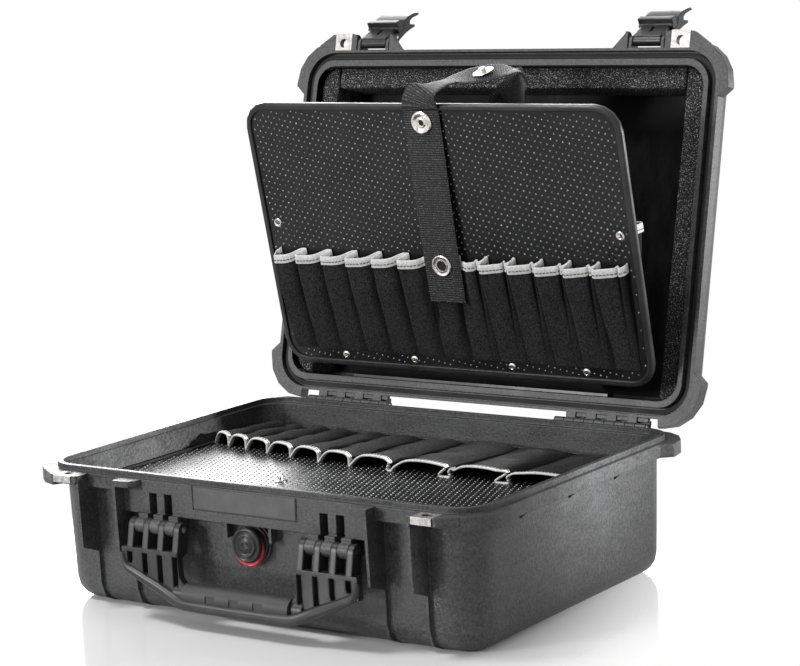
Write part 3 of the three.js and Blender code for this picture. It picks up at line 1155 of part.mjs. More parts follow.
const base = new THREE.Group();
base.add(piece('base_shell', baseShell(), mouldedPlastic()));
for (const side of [-1, 1]) {
  const name = sideName(side);
  base.add(piece(`hinge_pin_${name}`, hingePin(side), steel()));
  base.add(piece(`base_padlock_plate_${name}`, padlockPlate(side, SEAM_Z, -1), steel()));
  base.add(piece(`handle_pin_${name}`, handlePin(side), steel()));
}
const nutRoom = bar('y', 10, -WALL_HALF_Y, -WALL_HALF_Y + WALL + 10, 0, VALVE_Z, 12);
for (const place of ['front', 'back', 'left', 'right']) {
  base.add(piece(`base_foam_${place}`, place === 'front' ? cut(baseFoam.front, nutRoom) : baseFoam[place],
    foam()));
}
base.add(piece('valve_body', valveBody(), mouldedPlastic()));
base.add(piece('valve_ring', valveRing(), redRubber()));
base.add(piece('valve_knob', valveKnob(), mouldedPlastic()));
base.add(piece('handle_frame', handleFrame(), mouldedPlastic()));
base.add(piece('handle_grip', handleGrip(), gripRubber()));

const STUD_X = -50;
const STUD_Y = -57;
const lowerBoard = new THREE.Group();
const boardStud = union(bar('z', 6, BASE_BOARD_TOP + FIT, BASE_BOARD_TOP + FIT + 1.2, STUD_X, STUD_Y, 16),
  bar('z', 3, BASE_BOARD_BOTTOM_Z - FIT, BASE_BOARD_TOP + 5, STUD_X, STUD_Y, 12),
  bar('z', 5, BASE_BOARD_BOTTOM_Z - FIT - 1, BASE_BOARD_BOTTOM_Z - FIT, STUD_X, STUD_Y, 12));
const lowerSheet = cut(solidOf(geometryOf(flatBoard(BASE_BOARD_HALF_X, BASE_BOARD_HALF_Y)).translate(0, 0,
  BASE_BOARD_BOTTOM_Z)),
  bar('z', 3 + FIT, BASE_BOARD_BOTTOM_Z - 1, BASE_BOARD_TOP + 1, STUD_X, STUD_Y, 12));
lowerBoard.add(piece('base_board', lowerSheet, boardPlastic()));
lowerBoard.add(piece('base_board_trim',
  solidOf(geometryOf(edgeTrim(BASE_BOARD_HALF_X, BASE_BOARD_HALF_Y)).translate(0, 0, BASE_BOARD_BOTTOM_Z)),
  sealRubber()));
lowerBoard.add(piece('base_board_pockets', basePockets(), fabric()));
lowerBoard.add(piece('base_board_binding', baseBinding(), bindingTape()));
lowerBoard.add(piece('base_board_stud', boardStud, steel()));

const knifeCase = new THREE.Group();
knifeCase.add(base, lowerBoard, hingeGroup);

export default knifeCase;
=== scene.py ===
import bpy
import bmesh
import json
import math
from mathutils import Matrix, Vector
from mathutils import noise as fields
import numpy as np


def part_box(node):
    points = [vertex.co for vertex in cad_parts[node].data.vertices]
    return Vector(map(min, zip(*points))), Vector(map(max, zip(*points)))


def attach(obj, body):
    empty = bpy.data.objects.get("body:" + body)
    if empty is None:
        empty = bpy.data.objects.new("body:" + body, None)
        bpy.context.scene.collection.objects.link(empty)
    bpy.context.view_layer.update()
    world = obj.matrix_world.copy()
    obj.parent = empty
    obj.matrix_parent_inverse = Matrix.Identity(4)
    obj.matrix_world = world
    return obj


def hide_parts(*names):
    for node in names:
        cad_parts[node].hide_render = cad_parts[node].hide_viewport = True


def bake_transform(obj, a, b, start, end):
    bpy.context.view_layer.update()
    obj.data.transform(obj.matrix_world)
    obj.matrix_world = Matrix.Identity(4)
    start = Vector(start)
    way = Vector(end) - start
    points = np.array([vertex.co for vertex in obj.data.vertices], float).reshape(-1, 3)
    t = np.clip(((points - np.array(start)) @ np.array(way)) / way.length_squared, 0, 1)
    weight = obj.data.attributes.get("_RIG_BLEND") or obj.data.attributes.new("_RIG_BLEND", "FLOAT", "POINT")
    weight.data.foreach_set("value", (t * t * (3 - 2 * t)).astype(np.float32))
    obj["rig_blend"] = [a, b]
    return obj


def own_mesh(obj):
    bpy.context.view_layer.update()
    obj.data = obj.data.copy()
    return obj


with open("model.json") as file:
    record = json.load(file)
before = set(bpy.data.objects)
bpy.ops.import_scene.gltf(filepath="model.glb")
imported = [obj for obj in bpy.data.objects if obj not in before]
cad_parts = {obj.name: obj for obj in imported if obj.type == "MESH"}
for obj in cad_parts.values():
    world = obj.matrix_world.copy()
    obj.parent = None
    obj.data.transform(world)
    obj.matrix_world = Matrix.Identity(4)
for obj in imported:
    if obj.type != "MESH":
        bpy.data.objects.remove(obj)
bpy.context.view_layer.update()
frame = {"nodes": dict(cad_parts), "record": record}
MM = 0.001

# The camera, solved from the photograph's own straight lines
CAMERA_AT = Vector((1334.215, -1833.974, 607.649)) * MM
YAW, PITCH, ROLL = 0.6091, 0.1529, -0.0458
FOCAL_PX, WIDTH_PX, HEIGHT_PX = 2544.19, 800.0, 666.0
CENTRE_PX = (404.07, 302.52)
SENSOR_WIDTH = 36.0

# The open case: the lid's board and lid as lines in Y and Z, and the base board's top, in millimetres
BOARD_FOOT = (175.8, 163.5)
BOARD_SIN, BOARD_COS = 0.2028, 0.9792
HINGE = (182.7, 124.1)
OPEN_SIN, OPEN_COS = 0.9703, -0.2419
BASE_BOARD_TOP = 103.0
# The inside of the shut lid
INNER_HALF_X, INNER_HALF_Y = 222.0, 152.0
LID_FLOOR, LID_CEILING = 131.0, 174.5

# The boards and their pockets, with the base board's pocket seams in X and mouths in Y
BOARD_HALF_X, BOARD_HEIGHT, BOARD_THICK = 211.0, 271.0, 3.0
FRONT_POCKETS, FRONT_HALF, FRONT_LOW, FRONT_MOUTH = 13, 198.0, 17.0, 121.0
BACK_POCKETS, BACK_HALF, BACK_MOUTH = 4, 198.0, 151.0
BASE_SEAMS = [-212, -190, -165, -134.5, -102.5, -64.5, -27, 19.5, 80.5, 141.5, 213]
BASE_MOUTHS = [50, 43, 38, 32, 26, 19, 16, 14, 13, 13, 13]
BASE_BACK = 138.0
# Small dots: their pattern's pitch and steps, their rings as (radius, height) and their top
DOT_PITCH, DOT_SIDES = 6.55, 6
DOT_STEPS = Vector((6.42, -1.31)), Vector((2.08, -6.21))
DOT_RINGS, DOT_TOP = [(1.08, 0.0), (0.85, 0.42), (0.4, 0.64)], 0.66
# Vertices of a CAD mesh closer than this, in metres, are one
WELD = 2e-6
X_WAY, Y_WAY, Z_WAY = Vector((1, 0, 0)), Vector((0, 1, 0)), Vector((0, 0, 1))


def new_object(name, data):
    obj = bpy.data.objects.new(name, data)
    bpy.context.scene.collection.objects.link(obj)
    return obj


def make_camera():
    level = math.cos(PITCH)
    forward = Vector((-math.sin(YAW) * level, math.cos(YAW) * level, -math.sin(PITCH)))
    right = Vector((math.cos(YAW), math.sin(YAW), 0.0))
    up = right.cross(forward)
    turned_right = right * math.cos(ROLL) + up * math.sin(ROLL)
    turned_up = up * math.cos(ROLL) - right * math.sin(ROLL)
    data = bpy.data.cameras.new("camera")
    data.sensor_width = SENSOR_WIDTH
    data.lens = FOCAL_PX * SENSOR_WIDTH / WIDTH_PX
    data.shift_x = (WIDTH_PX / 2 - CENTRE_PX[0]) / WIDTH_PX
    data.shift_y = (CENTRE_PX[1] - HEIGHT_PX / 2) / WIDTH_PX
    data.clip_end = 50.0
    camera = new_object("camera", data)
    rows = Matrix((turned_right, turned_up, -forward)).transposed()
    camera.matrix_world = Matrix.Translation(CAMERA_AT) @ rows.to_4x4()
    bpy.context.scene.camera = camera


make_camera()


# Places in metres from millimetres
def on_lid_board(x, height, off):
    y = BOARD_FOOT[0] - BOARD_SIN * height - BOARD_COS * off
    z = BOARD_FOOT[1] + BOARD_COS * height - BOARD_SIN * off
    return Vector((x, y, z)) * MM


def about_hinge(y, z, sine):
    """Y and Z turned about the hinge, from the shut lid to the open one for a sine of OPEN_SIN."""
    dy, dz = y - HINGE[0], z - HINGE[1]
    return HINGE[0] + dy * OPEN_COS + dz * sine, HINGE[1] - dy * sine + dz * OPEN_COS


def in_open_lid(x, y, z):
    return Vector((x, *about_hinge(y, z, OPEN_SIN))) * MM


def in_shut_lid(at):
    """A place of the open lid, in metres, as millimetres in the shut one."""
    return at.x / MM, *about_hinge(at.y / MM, at.z / MM, -OPEN_SIN)


def on_base_board(x, y, off):
    return Vector((x, y, BASE_BOARD_TOP + off)) * MM


def in_base(x, y, z):
    return Vector((x, y, z)) * MM


BOARD_OUT = Vector((0.0, -BOARD_COS, -BOARD_SIN))
BOARD_UP = Vector((0.0, -BOARD_SIN, BOARD_COS))


# Materials
def add_node(tree, kind, inputs=(), **settings):
    """A new node, its inputs given as values or as the sockets they are linked from."""
    made = tree.nodes.new(kind)
    for key, value in settings.items():
        setattr(made, key, value)
    for socket, value in dict(inputs).items():
        if isinstance(value, bpy.types.NodeSocket):
            tree.links.new(value, made.inputs[socket])
        else:
            made.inputs[socket].default_value = value
    return made


class Shader:
    """A material on one Principled surface, with short calls for its nodes."""

    def __init__(self, name, color, roughness, spec=0.5, metal=0.0):
        self.material = bpy.data.materials.new(name)
        self.material.use_nodes = True
        self.tree = self.material.node_tree
        self.surface = self.tree.nodes["Principled BSDF"]
        self.surface.inputs["Base Color"].default_value = (*color, 1.0)
        self.surface.inputs["Roughness"].default_value = roughness
        self.surface.inputs["Specular IOR Level"].default_value = spec
        self.surface.inputs["Metallic"].default_value = metal
        self.place = self.node("ShaderNodeTexCoord").outputs["Object"]

    def node(self, kind, inputs=(), **settings):
        return add_node(self.tree, kind, inputs, **settings)

    def link(self, out, socket):
        self.tree.links.new(out, self.surface.inputs[socket])

    def noise(self, scale, detail=3.0, rough=0.55, place=None):
        place = place or self.place
        inputs = {"Vector": place, "Scale": scale, "Detail": detail, "Roughness": rough}
        return self.node("ShaderNodeTexNoise", inputs).outputs["Fac"]

    def cells(self, scale):
        inputs = {"Vector": self.place, "Scale": scale}
        return self.node("ShaderNodeTexVoronoi", inputs).outputs["Distance"]

    def waves(self, scale, axis):
        inputs = {"Vector": self.place, "Scale": scale, "Distortion": 0.0, "Detail": 0.0}
        return self.node("ShaderNodeTexWave", inputs, bands_direction=axis).outputs["Fac"]

    def stretched(self, x, y, z):
        inputs = {"Vector": self.place, "Scale": (x, y, z)}
        return self.node("ShaderNodeMapping", inputs).outputs["Vector"]

    def ramp(self, value, stops):
        made = self.node("ShaderNodeValToRGB", {"Fac": value})
        points = made.color_ramp.elements
        while len(points) < len(stops):
            points.new(0.5)
        for point, (at, color) in zip(points, stops):
            point.position = at
            point.color = (*color, 1.0) if hasattr(color, "__len__") else (color, color, color, 1.0)
        return made.outputs["Color"]

    def spread(self, value, low, high, start=0.3, end=0.7):
        inputs = {"Value": value, "From Min": start, "From Max": end, "To Min": low, "To Max": high}
        return self.node("ShaderNodeMapRange", inputs).outputs["Result"]

    def math(self, operation, a, b=0.0):
        return self.node("ShaderNodeMath", {0: a, 1: b}, operation=operation).outputs["Value"]

    def weighed(self, first, first_share, second, second_share):
        """Two values added by their shares."""
        inputs = {0: first, 1: first_share, 2: self.math("MULTIPLY", second, second_share)}
        return self.node("ShaderNodeMath", inputs, operation="MULTIPLY_ADD").outputs["Value"]

    def attribute(self, name):
        return self.node("ShaderNodeAttribute", attribute_name=name).outputs["Fac"]

    def tint(self, value, dark, light, start=0.3, end=0.7):
        self.link(self.ramp(value, [(start, dark), (end, light)]), "Base Color")

    def relief(self, heights, edge=None):
        """Bumps of (height, depth in millimetres, strength), over edges rounded by the radius edge."""
        normal = None
        if edge:
            normal = self.node("ShaderNodeBevel", {"Radius": edge * MM}, samples=5).outputs["Normal"]
        for height, depth, strength in heights:
            inputs = {"Height": height, "Distance": depth * MM, "Strength": strength}
            bump = self.node("ShaderNodeBump", inputs)
            if normal:
                self.tree.links.new(normal, bump.inputs["Normal"])
            normal = bump.outputs["Normal"]
        self.link(normal, "Normal")


def shade(value):
    """A black or grey of a slightly cool tone."""
    return (value, value * 1.01, value * 1.04)


def moulded_plastic():
    made = Shader("moulded_plastic", shade(0.03), 0.5, spec=0.46)
    broad = made.noise(14, 4, 0.6)
    streaks = made.noise(26, 5, 0.65, made.stretched(1.0, 1.0, 3.2))
    mixed = made.weighed(streaks, 0.5, broad, 0.5)
    mottled = made.weighed(made.noise(430, 3, 0.7), 0.62, mixed, 0.42)
    made.tint(mottled, shade(0.01), shade(0.072), 0.42, 0.66)
    made.link(made.spread(mixed, 0.36, 0.54), "Roughness")
    grain = made.noise(480, 3, 0.65)
    made.relief([(made.noise(60, 3, 0.5), 0.25, 0.3), (grain, 0.35, 0.8)], edge=1.0)
    return made.material


def lid_inside_shaded_plastic():
    # The lid's inside: smoother plastic with streaks; its much darker tone and weak shine are painted shade
    # of the recess
    made = Shader("lid_inside_shaded_plastic", shade(0.01), 0.5, spec=0.07)
    streaks = made.noise(60, 5, 0.7, made.stretched(1.0, 1.0, 0.22))
    made.tint(streaks, shade(0.002), shade(0.009), 0.42, 0.66)
    made.link(made.spread(streaks, 0.4, 0.6), "Roughness")
    made.relief([(streaks, 0.25, 0.5), (made.noise(480, 3, 0.65), 0.2, 0.7)], edge=1.0)
    return made.material


def grip_rubber():
    made = Shader("grip_rubber", shade(0.04), 0.55, spec=0.4)
    made.tint(made.noise(40, 3), shade(0.024), shade(0.038))
    made.relief([(made.cells(900), 0.06, 0.5)], edge=0.8)
    return made.material


def foam():
    made = Shader("foam", shade(0.02), 0.9, spec=0.3)
    grain_and_glint_specks = made.noise(900, 2, 0.6)
    # Painted glints: sparse light grey specks on the dark foam, from the same noise as its grain bumps
    stops = [(0.5, shade(0.008)), (0.58, shade(0.045)), (0.67, shade(0.36))]
    made.link(made.ramp(grain_and_glint_specks, stops), "Base Color")
    made.relief([(made.cells(650), 0.7, 0.8), (grain_and_glint_specks, 0.4, 0.7)])
    return made.material


def pocket_cloth():
    made = Shader("pocket_cloth", shade(0.02), 0.95, spec=0.0)
    made.surface.inputs["Sheen Weight"].default_value = 0.04
    made.surface.inputs["Sheen Roughness"].default_value = 0.5
    lint = made.noise(700, 3, 0.7)
    # Painted shade: the cloth is darkened where it lies low in the valleys, by an attribute taken from its
    # shape
    painted_valley_shade = made.spread(made.attribute("painted_valley_shade"), 0.12, 1.0, 0.0, 1.0)
    lint_and_valley_shade = made.math("MULTIPLY", made.spread(lint, 0.1, 1.0, 0.35, 0.72), painted_valley_shade)
    stops = [(0.0, shade(0.0035)), (0.45, shade(0.024)), (1.0, shade(0.062))]
    made.link(made.ramp(lint_and_valley_shade, stops), "Base Color")
    weave = made.math("MAXIMUM", made.waves(430, "X"), made.waves(430, "Z"))
    made.relief([(made.noise(70, 4), 0.6, 0.4), (weave, 0.12, 0.6), (lint, 0.12, 0.6)])
    return made.material


def binding_tape():
    made = Shader("binding_tape", shade(0.36), 0.8, spec=0.3)
    threads = made.noise(500, 4, 0.7)
    made.tint(threads, (0.42, 0.42, 0.41), (0.74, 0.74, 0.73))
    made.relief([(made.waves(480, "X"), 0.1, 0.5), (threads, 0.1, 0.4)])
    return made.material


def webbing():
    made = Shader("webbing", shade(0.02), 0.6, spec=0.25)
    threads = made.noise(1100, 3, 0.7)
    # Painted highlight and shade: rib ridges lighter, rib valleys near black, from each row's rise
    lit = made.math("MULTIPLY", made.attribute("rib"), made.spread(threads, 0.1, 1.0))
    stops = [(0.1, shade(0.002)), (0.55, shade(0.019)), (0.9, shade(0.24))]
    made.link(made.ramp(lit, stops), "Base Color")
    made.relief([(threads, 0.15, 0.6)])
    return made.material


MATERIALS = {
    make.__name__: make()
    for make in (moulded_plastic, lid_inside_shaded_plastic, grip_rubber, foam, pocket_cloth, binding_tape, webbing)
}


def one_noise(name, color, roughness, pattern, tones, bumps, rough=None, edge=None, **light):
    """Adds a material tinted, and roughened if rough is given, by one noise, with bumps from others."""
    made = Shader(name, color, roughness, **light)
    value = made.noise(*pattern)
    made.tint(value, *tones)
    if rough:
        made.link(made.spread(value, *rough), "Roughness")
    made.relief([(made.noise(*grain), depth, strength) for grain, depth, strength in bumps], edge)
    MATERIALS[name] = made.material


one_noise(
    "gloss_plastic", shade(0.02), 0.34, (30, 4, 0.6), (shade(0.01), shade(0.024)),
    [((90, 3, 0.5), 0.3, 0.35), ((700, 3, 0.6), 0.08, 0.4)], (0.26, 0.42), 2.2, spec=0.36,
)
one_noise(
    "plate_plastic", shade(0.06), 0.5, (40, 5, 0.65), ((0.04, 0.04, 0.04), (0.085, 0.085, 0.085)),
    [((700, 3, 0.65), 0.1, 0.5)], edge=0.3, spec=0.45,
)
one_noise(
    "steel", (0.78, 0.77, 0.74), 0.24, (320, 5, 0.7), ((0.36, 0.34, 0.29), (0.86, 0.85, 0.82)),
    [((500, 3), 0.03, 0.3)], (0.16, 0.36), 0.25, metal=1.0,
)
one_noise(
    "plate_steel", (0.5, 0.49, 0.47), 0.42, (260, 5, 0.7), ((0.2, 0.19, 0.175), (0.5, 0.49, 0.46)),
    [((500, 3), 0.04, 0.3)], (0.34, 0.55), 0.25, metal=1.0,
)
one_noise(
    "red_rubber", (0.5, 0.02, 0.03), 0.35, (300, 3), ((0.42, 0.012, 0.02), (0.58, 0.03, 0.04)),
    [((1200, 2), 0.03, 0.3)], edge=0.3,
)
one_noise(
    "seal_rubber", shade(0.014), 0.6, (30, 4), (shade(0.011), shade(0.02)),
    [((90, 3), 0.25, 0.3), ((1600, 2), 0.03, 0.25)], (0.5, 0.7), spec=0.2,
)
one_noise(
    "board_plastic", shade(0.01), 0.3, (18, 4), (shade(0.007), shade(0.014)),
    [((35, 3), 0.4, 0.2), ((700, 2), 0.04, 0.3)], (0.26, 0.4), spec=0.24,
)
# The dots' tone, lighter than the board's black and varied by noise, is painted glint on their domes
one_noise(
    "board_dots_painted_glint", shade(0.1), 0.16, (260, 2, 0.6), (shade(0.02), shade(0.3), 0.35, 0.7),
    [((1500, 2), 0.02, 0.2)], spec=0.9,
)
one_noise(
    "stitch_thread", shade(0.03), 0.7, (900, 3), (shade(0.008), shade(0.025)),
    [((2200, 2), 0.05, 0.5)],
)
SLOT_OF = {row["node"]: row["material_slot"] for row in frame["record"]["subparts"]}
BODIES = frame["record"]["behaviour"]["bodies"]
BODY_OF = {node: body for body, nodes in BODIES.items() for node in nodes}


# Making and placing pieces
def set_material(obj, name):
    obj.data.materials.clear()
    obj.data.materials.append(MATERIALS[name])


def smooth(obj, degrees=32.0, welded=False):
    """Rounds the shading over every edge flatter than the angle, and may weld the vertices first."""
    made = bmesh.new()
    made.from_mesh(obj.data)
    if welded:
        bmesh.ops.remove_doubles(made, verts=made.verts, dist=WELD)
    bmesh.ops.recalc_face_normals(made, faces=made.faces)
    limit = math.radians(degrees)
    for edge in made.edges:
        edge.smooth = len(edge.link_faces) == 2 and edge.calc_face_angle(0.0) < limit
    for face in made.faces:
        face.smooth = True
    made.to_mesh(obj.data)
    made.free()


def piece(name, points, faces, material, degrees=32.0):
    data = bpy.data.meshes.new(name)
    data.from_pydata([tuple(point) for point in points], [], faces)
    data.materials.append(MATERIALS[material])
    obj = new_object(name, data)
    smooth(obj, degrees)
    return obj


def place_piece(obj, node):
    """Stands for the node and rides where it does."""
    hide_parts(node)
    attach(obj, BODY_OF[node])


def linked_copy(node, name):
    """A new object with a copy of a CAD node's mesh."""
    data = frame["nodes"][node].data.copy()
    data.name = name
    return new_object(name, data)


def paint_shade_inside_lid(data):
    """Gives the faces that look into the lid a darker material: painted shade for the lid's recessed inside.
    """
    data.materials.append(MATERIALS["lid_inside_shaded_plastic"])
    middle = in_open_lid(0, 0, LID_FLOOR)
    for polygon in data.polygons:
        x, y, z = in_shut_lid(polygon.center)
        inward = polygon.normal.dot(polygon.center - middle) < 0
        if inward and abs(x) < INNER_HALF_X and abs(y) < INNER_HALF_Y and LID_FLOOR < z < LID_CEILING:
            polygon.material_index = 1


GLOSSY = (
    "latch_hook", "latch_lever", "handle_frame", "valve_body", "lid_board_trim", "base_board_trim",
)


def stand_in(node):
    """A copy of a CAD node with its faces' shading rounded, standing for the node."""
    obj = linked_copy(node, node + "_look")
    attributes = obj.data.attributes
    if "custom_normal" in attributes:
        attributes.remove(attributes["custom_normal"])
    smooth(obj, welded=True)
    if node.startswith(GLOSSY):
        set_material(obj, "gloss_plastic")
    elif "padlock_plate" in node:
        set_material(obj, "plate_steel")
    elif node == "lid_shell":
        paint_shade_inside_lid(obj.data)
    place_piece(obj, node)


def joined(name, parts, material, degrees=32.0):
    """One piece from several lists of (points, faces)."""
    points, faces = [], []
    for more_points, more_faces in parts:
        start = len(points)
        points += more_points
        faces += [tuple(start + index for index in face) for face in more_faces]
    return piece(name, points, faces, material, degrees)


def end_caps(rows, sides):
    """The first and last faces of a tube with the given rows of sides."""
    last = (rows - 1) * sides
    return [tuple(range(sides - 1, -1, -1)), tuple(last + i for i in range(sides))]


def tube_faces(rows, sides):
    """The faces between the rows of a tube."""
    faces = []
    for row in range(rows - 1):
        for i in range(sides):
            a, b = row * sides + i, row * sides + (i + 1) % sides
            faces.append((a, b, b + sides, a + sides))
    return faces


def lathe(centre, way, profile, sides, hollow=False):
    """Points and faces of a profile of (radius, height) turned about a line.

    A hollow one has its profile's end joined to its start round an open middle.
    """
    way = Vector(way).normalized()
    aside = way.orthogonal().normalized()
    third = way.cross(aside)
    points = []
    for radius, height in profile:
        for i in range(sides):
            turn = 2 * math.pi * i / sides
            ring = aside * math.cos(turn) + third * math.sin(turn)
            points.append(Vector(centre) + ring * radius * MM + way * height * MM)
    rows = len(profile)
    closing = end_caps(rows, sides)
    if hollow:
        last = (rows - 1) * sides
        closing = [(last + i, last + (i + 1) % sides, (i + 1) % sides, i) for i in range(sides)]
    return points, tube_faces(rows, sides) + closing


def layer_faces(rows, columns):
    """The faces of two layers of a grid and of their long sides, open at the first and last row."""
    layer = rows * columns
    faces = []
    for j in range(rows - 1):
        for i in range(columns - 1):
            a = j * columns + i
            faces.append((a, a + 1, a + 1 + columns, a + columns))
            faces.append((layer + a, layer + a + columns, layer + a + 1 + columns, layer + a + 1))
        a, b = j * columns, j * columns + columns - 1
        faces.append((a, a + columns, layer + a + columns, layer + a))
        faces.append((b, layer + b, layer + b + columns, b + columns))
    return faces


def skin(grid, thickness, outward):
    """Points and faces of a sheet over a grid of places, with thickness away from outward."""
    rows, columns = len(grid), len(grid[0])
    points = [point for row in grid for point in row]
    points += [grid[j][i] - outward(i, j) * thickness * MM for j in range(rows) for i in range(columns)]
    layer = rows * columns
    faces = layer_faces(rows, columns)
    for i in range(columns - 1):
        a, b = i, (rows - 1) * columns + i
        faces.append((a, layer + a, layer + a + 1, a + 1))
        faces.append((b, b + 1, layer + b + 1, layer + b))
    return points, faces


for node, obj in frame["nodes"].items():
    set_material(obj, SLOT_OF[node])

# The stiff pieces are smoothed copies of their solids
RIGID = [node for node in frame["nodes"] if SLOT_OF[node] in ("moulded_plastic", "grip_rubber")]
RIGID += [
    "lid_gasket", "lid_board_trim", "base_board_trim", "lid_board", "base_board", "flap_anchor_strip",
]
RIGID += [node for node in frame["nodes"] if "pin_" in node or "plate_" in node]
RIGID.remove("valve_knob")
for node in RIGID:
    stand_in(node)


# Small dots moulded into both knife boards
def dot_places(half_x, low, high, keep):
    first, second = DOT_STEPS
    places = []
    reach = int((half_x + high - low) / DOT_PITCH) + 2
    for i in range(-reach, reach + 1):
        for j in range(-2 * reach, 2 * reach + 1):
            at = first * i + second * j
            if abs(at.x) < half_x and low < at.y < high and keep(at.x, at.y):
                places.append(at)
    return places


def dot_field(name, places, put, out, node):
    across = put(1, 0, 0) - put(0, 0, 0)
    along = put(0, 1, 0) - put(0, 0, 0)
    bottom, upper_ring = end_caps(len(DOT_RINGS), DOT_SIDES)
    top = len(DOT_RINGS) * DOT_SIDES
    faces = tube_faces(len(DOT_RINGS), DOT_SIDES)
    faces += [(a, b, top) for a, b in zip(upper_ring, upper_ring[1:] + upper_ring[:1])]
    faces.append(bottom)
    dots = []
    for at in places:
        centre = put(at.x, at.y, 0)
        points = []
        for radius, height in DOT_RINGS:
            for i in range(DOT_SIDES):
                turn = 2 * math.pi * i / DOT_SIDES
                ring = across * radius * math.cos(turn) + along * radius * math.sin(turn)
                points.append(centre + ring + out * height * MM)
        dots.append((points + [centre + out * DOT_TOP * MM], faces))
    obj = joined(name, dots, "board_dots_painted_glint", 60)
    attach(obj, BODY_OF[node])


def front_board_clear(x, h):
    if h > FRONT_MOUTH + 2:
        return abs(x) < BOARD_HALF_X - 9
    return h < FRONT_LOW - 2 or abs(x) > FRONT_HALF + 2.5


def lid_corner_clear(x, h, edge=8.0, radius=20.0):
    over = abs(x) - (BOARD_HALF_X - edge - radius)
    up = max(h - (BOARD_HEIGHT - edge - radius), (edge + radius) - h)
    return over < 0 or up < 0 or math.hypot(over, up) < radius


def base_pocket_at(x):
    """The base pocket that x lies in, and how far across it."""
    for k, (left, right) in enumerate(zip(BASE_SEAMS, BASE_SEAMS[1:])):
        if x <= right:
            return k, (x - left) / (right - left)
    return len(BASE_SEAMS) - 2, 1.0


def base_mouth_at(x):
    k, share = base_pocket_at(x)
    return BASE_MOUTHS[k] + (BASE_MOUTHS[k + 1] - BASE_MOUTHS[k]) * share


dot_field(
    "lid_board_dots",
    dot_places(203, 8, 263, lambda x, h: front_board_clear(x, h) and lid_corner_clear(x, h)),
    on_lid_board, BOARD_OUT, "lid_board",
)
dot_field(
    "lid_board_rear_dots",
    dot_places(203, BACK_MOUTH + 3, 263, lid_corner_clear),
    lambda x, h, off: on_lid_board(x, h, -BOARD_THICK - off), -BOARD_OUT, "lid_board",
)
dot_field(
    "base_board_dots",
    dot_places(211, -141, 49, lambda x, y: y < base_mouth_at(x) + 14 and (abs(x) < 190 or y > -120)),
    on_base_board, Z_WAY, "base_board",
)


# Curves through places
def between(a, b, start, end, t):
    """The point at t on the line that has a at start and b at end."""
    return a * ((end - t) / (end - start)) + b * ((t - start) / (end - start))


def running_lengths(points):
    """The length of a line up to each of its points."""
    lengths = [0.0]
    for a, b in zip(points, points[1:]):
        lengths.append(lengths[-1] + (b - a).length)
    return lengths


def span_at(lengths, goal):
    """The span of a line that holds a length along it, and the share of it passed there."""
    k = 0
    while k < len(lengths) - 2 and lengths[k + 1] < goal:
        k += 1
    return k, (goal - lengths[k]) / max(lengths[k + 1] - lengths[k], 1e-9)


def line_way(line, i):
    return (line[min(i + 1, len(line) - 1)] - line[max(i - 1, 0)]).normalized()


def through(points, per_span):
    """Centripetal curve through vectors, with the given number of steps in each span."""
    ends = [2 * points[0] - points[1], *points, 2 * points[-1] - points[-2]]
    made = []
    for k in range(1, len(ends) - 2):
        p0, p1, p2, p3 = ends[k - 1 : k + 3]
        t0 = 0.0
        t1 = t0 + max((p1 - p0).length, 1e-6) ** 0.5
        t2 = t1 + max((p2 - p1).length, 1e-6) ** 0.5
        t3 = t2 + max((p3 - p2).length, 1e-6) ** 0.5
        for step in range(per_span):
            t = t1 + (t2 - t1) * step / per_span
            a1 = between(p0, p1, t0, t1, t)
            a2 = between(p1, p2, t1, t2, t)
            a3 = between(p2, p3, t2, t3, t)
            made.append(between(between(a1, a2, t0, t2, t), between(a2, a3, t1, t3, t), t1, t2, t))
    made.append(points[-1])
    return made


def evenly(points, extras, pitch):
    """The same line stepped evenly, as pairs of (place, extra vector), and its length."""
    lengths = running_lengths(points)
    count = max(2, round(lengths[-1] / (pitch * MM)))
    made = []
    for i in range(count + 1):
        k, share = span_at(lengths, lengths[-1] * i / count)
        made.append((points[k].lerp(points[k + 1], share), extras[k].lerp(extras[k + 1], share)))
    return made, lengths[-1]


# Webbing in millimetres, with its columns as shares of its half width
STRAP_WIDTH, STRAP_THICK, RIB_PITCH, RIB_STEPS, RIB_RISE = 40.0, 1.5, 2.3, 6, 0.3
STRAP_COLUMNS = [-1.0, -0.97, -0.9, -0.8, -0.55, -0.25, 0.0, 0.25, 0.55, 0.8, 0.9, 0.97, 1.0]


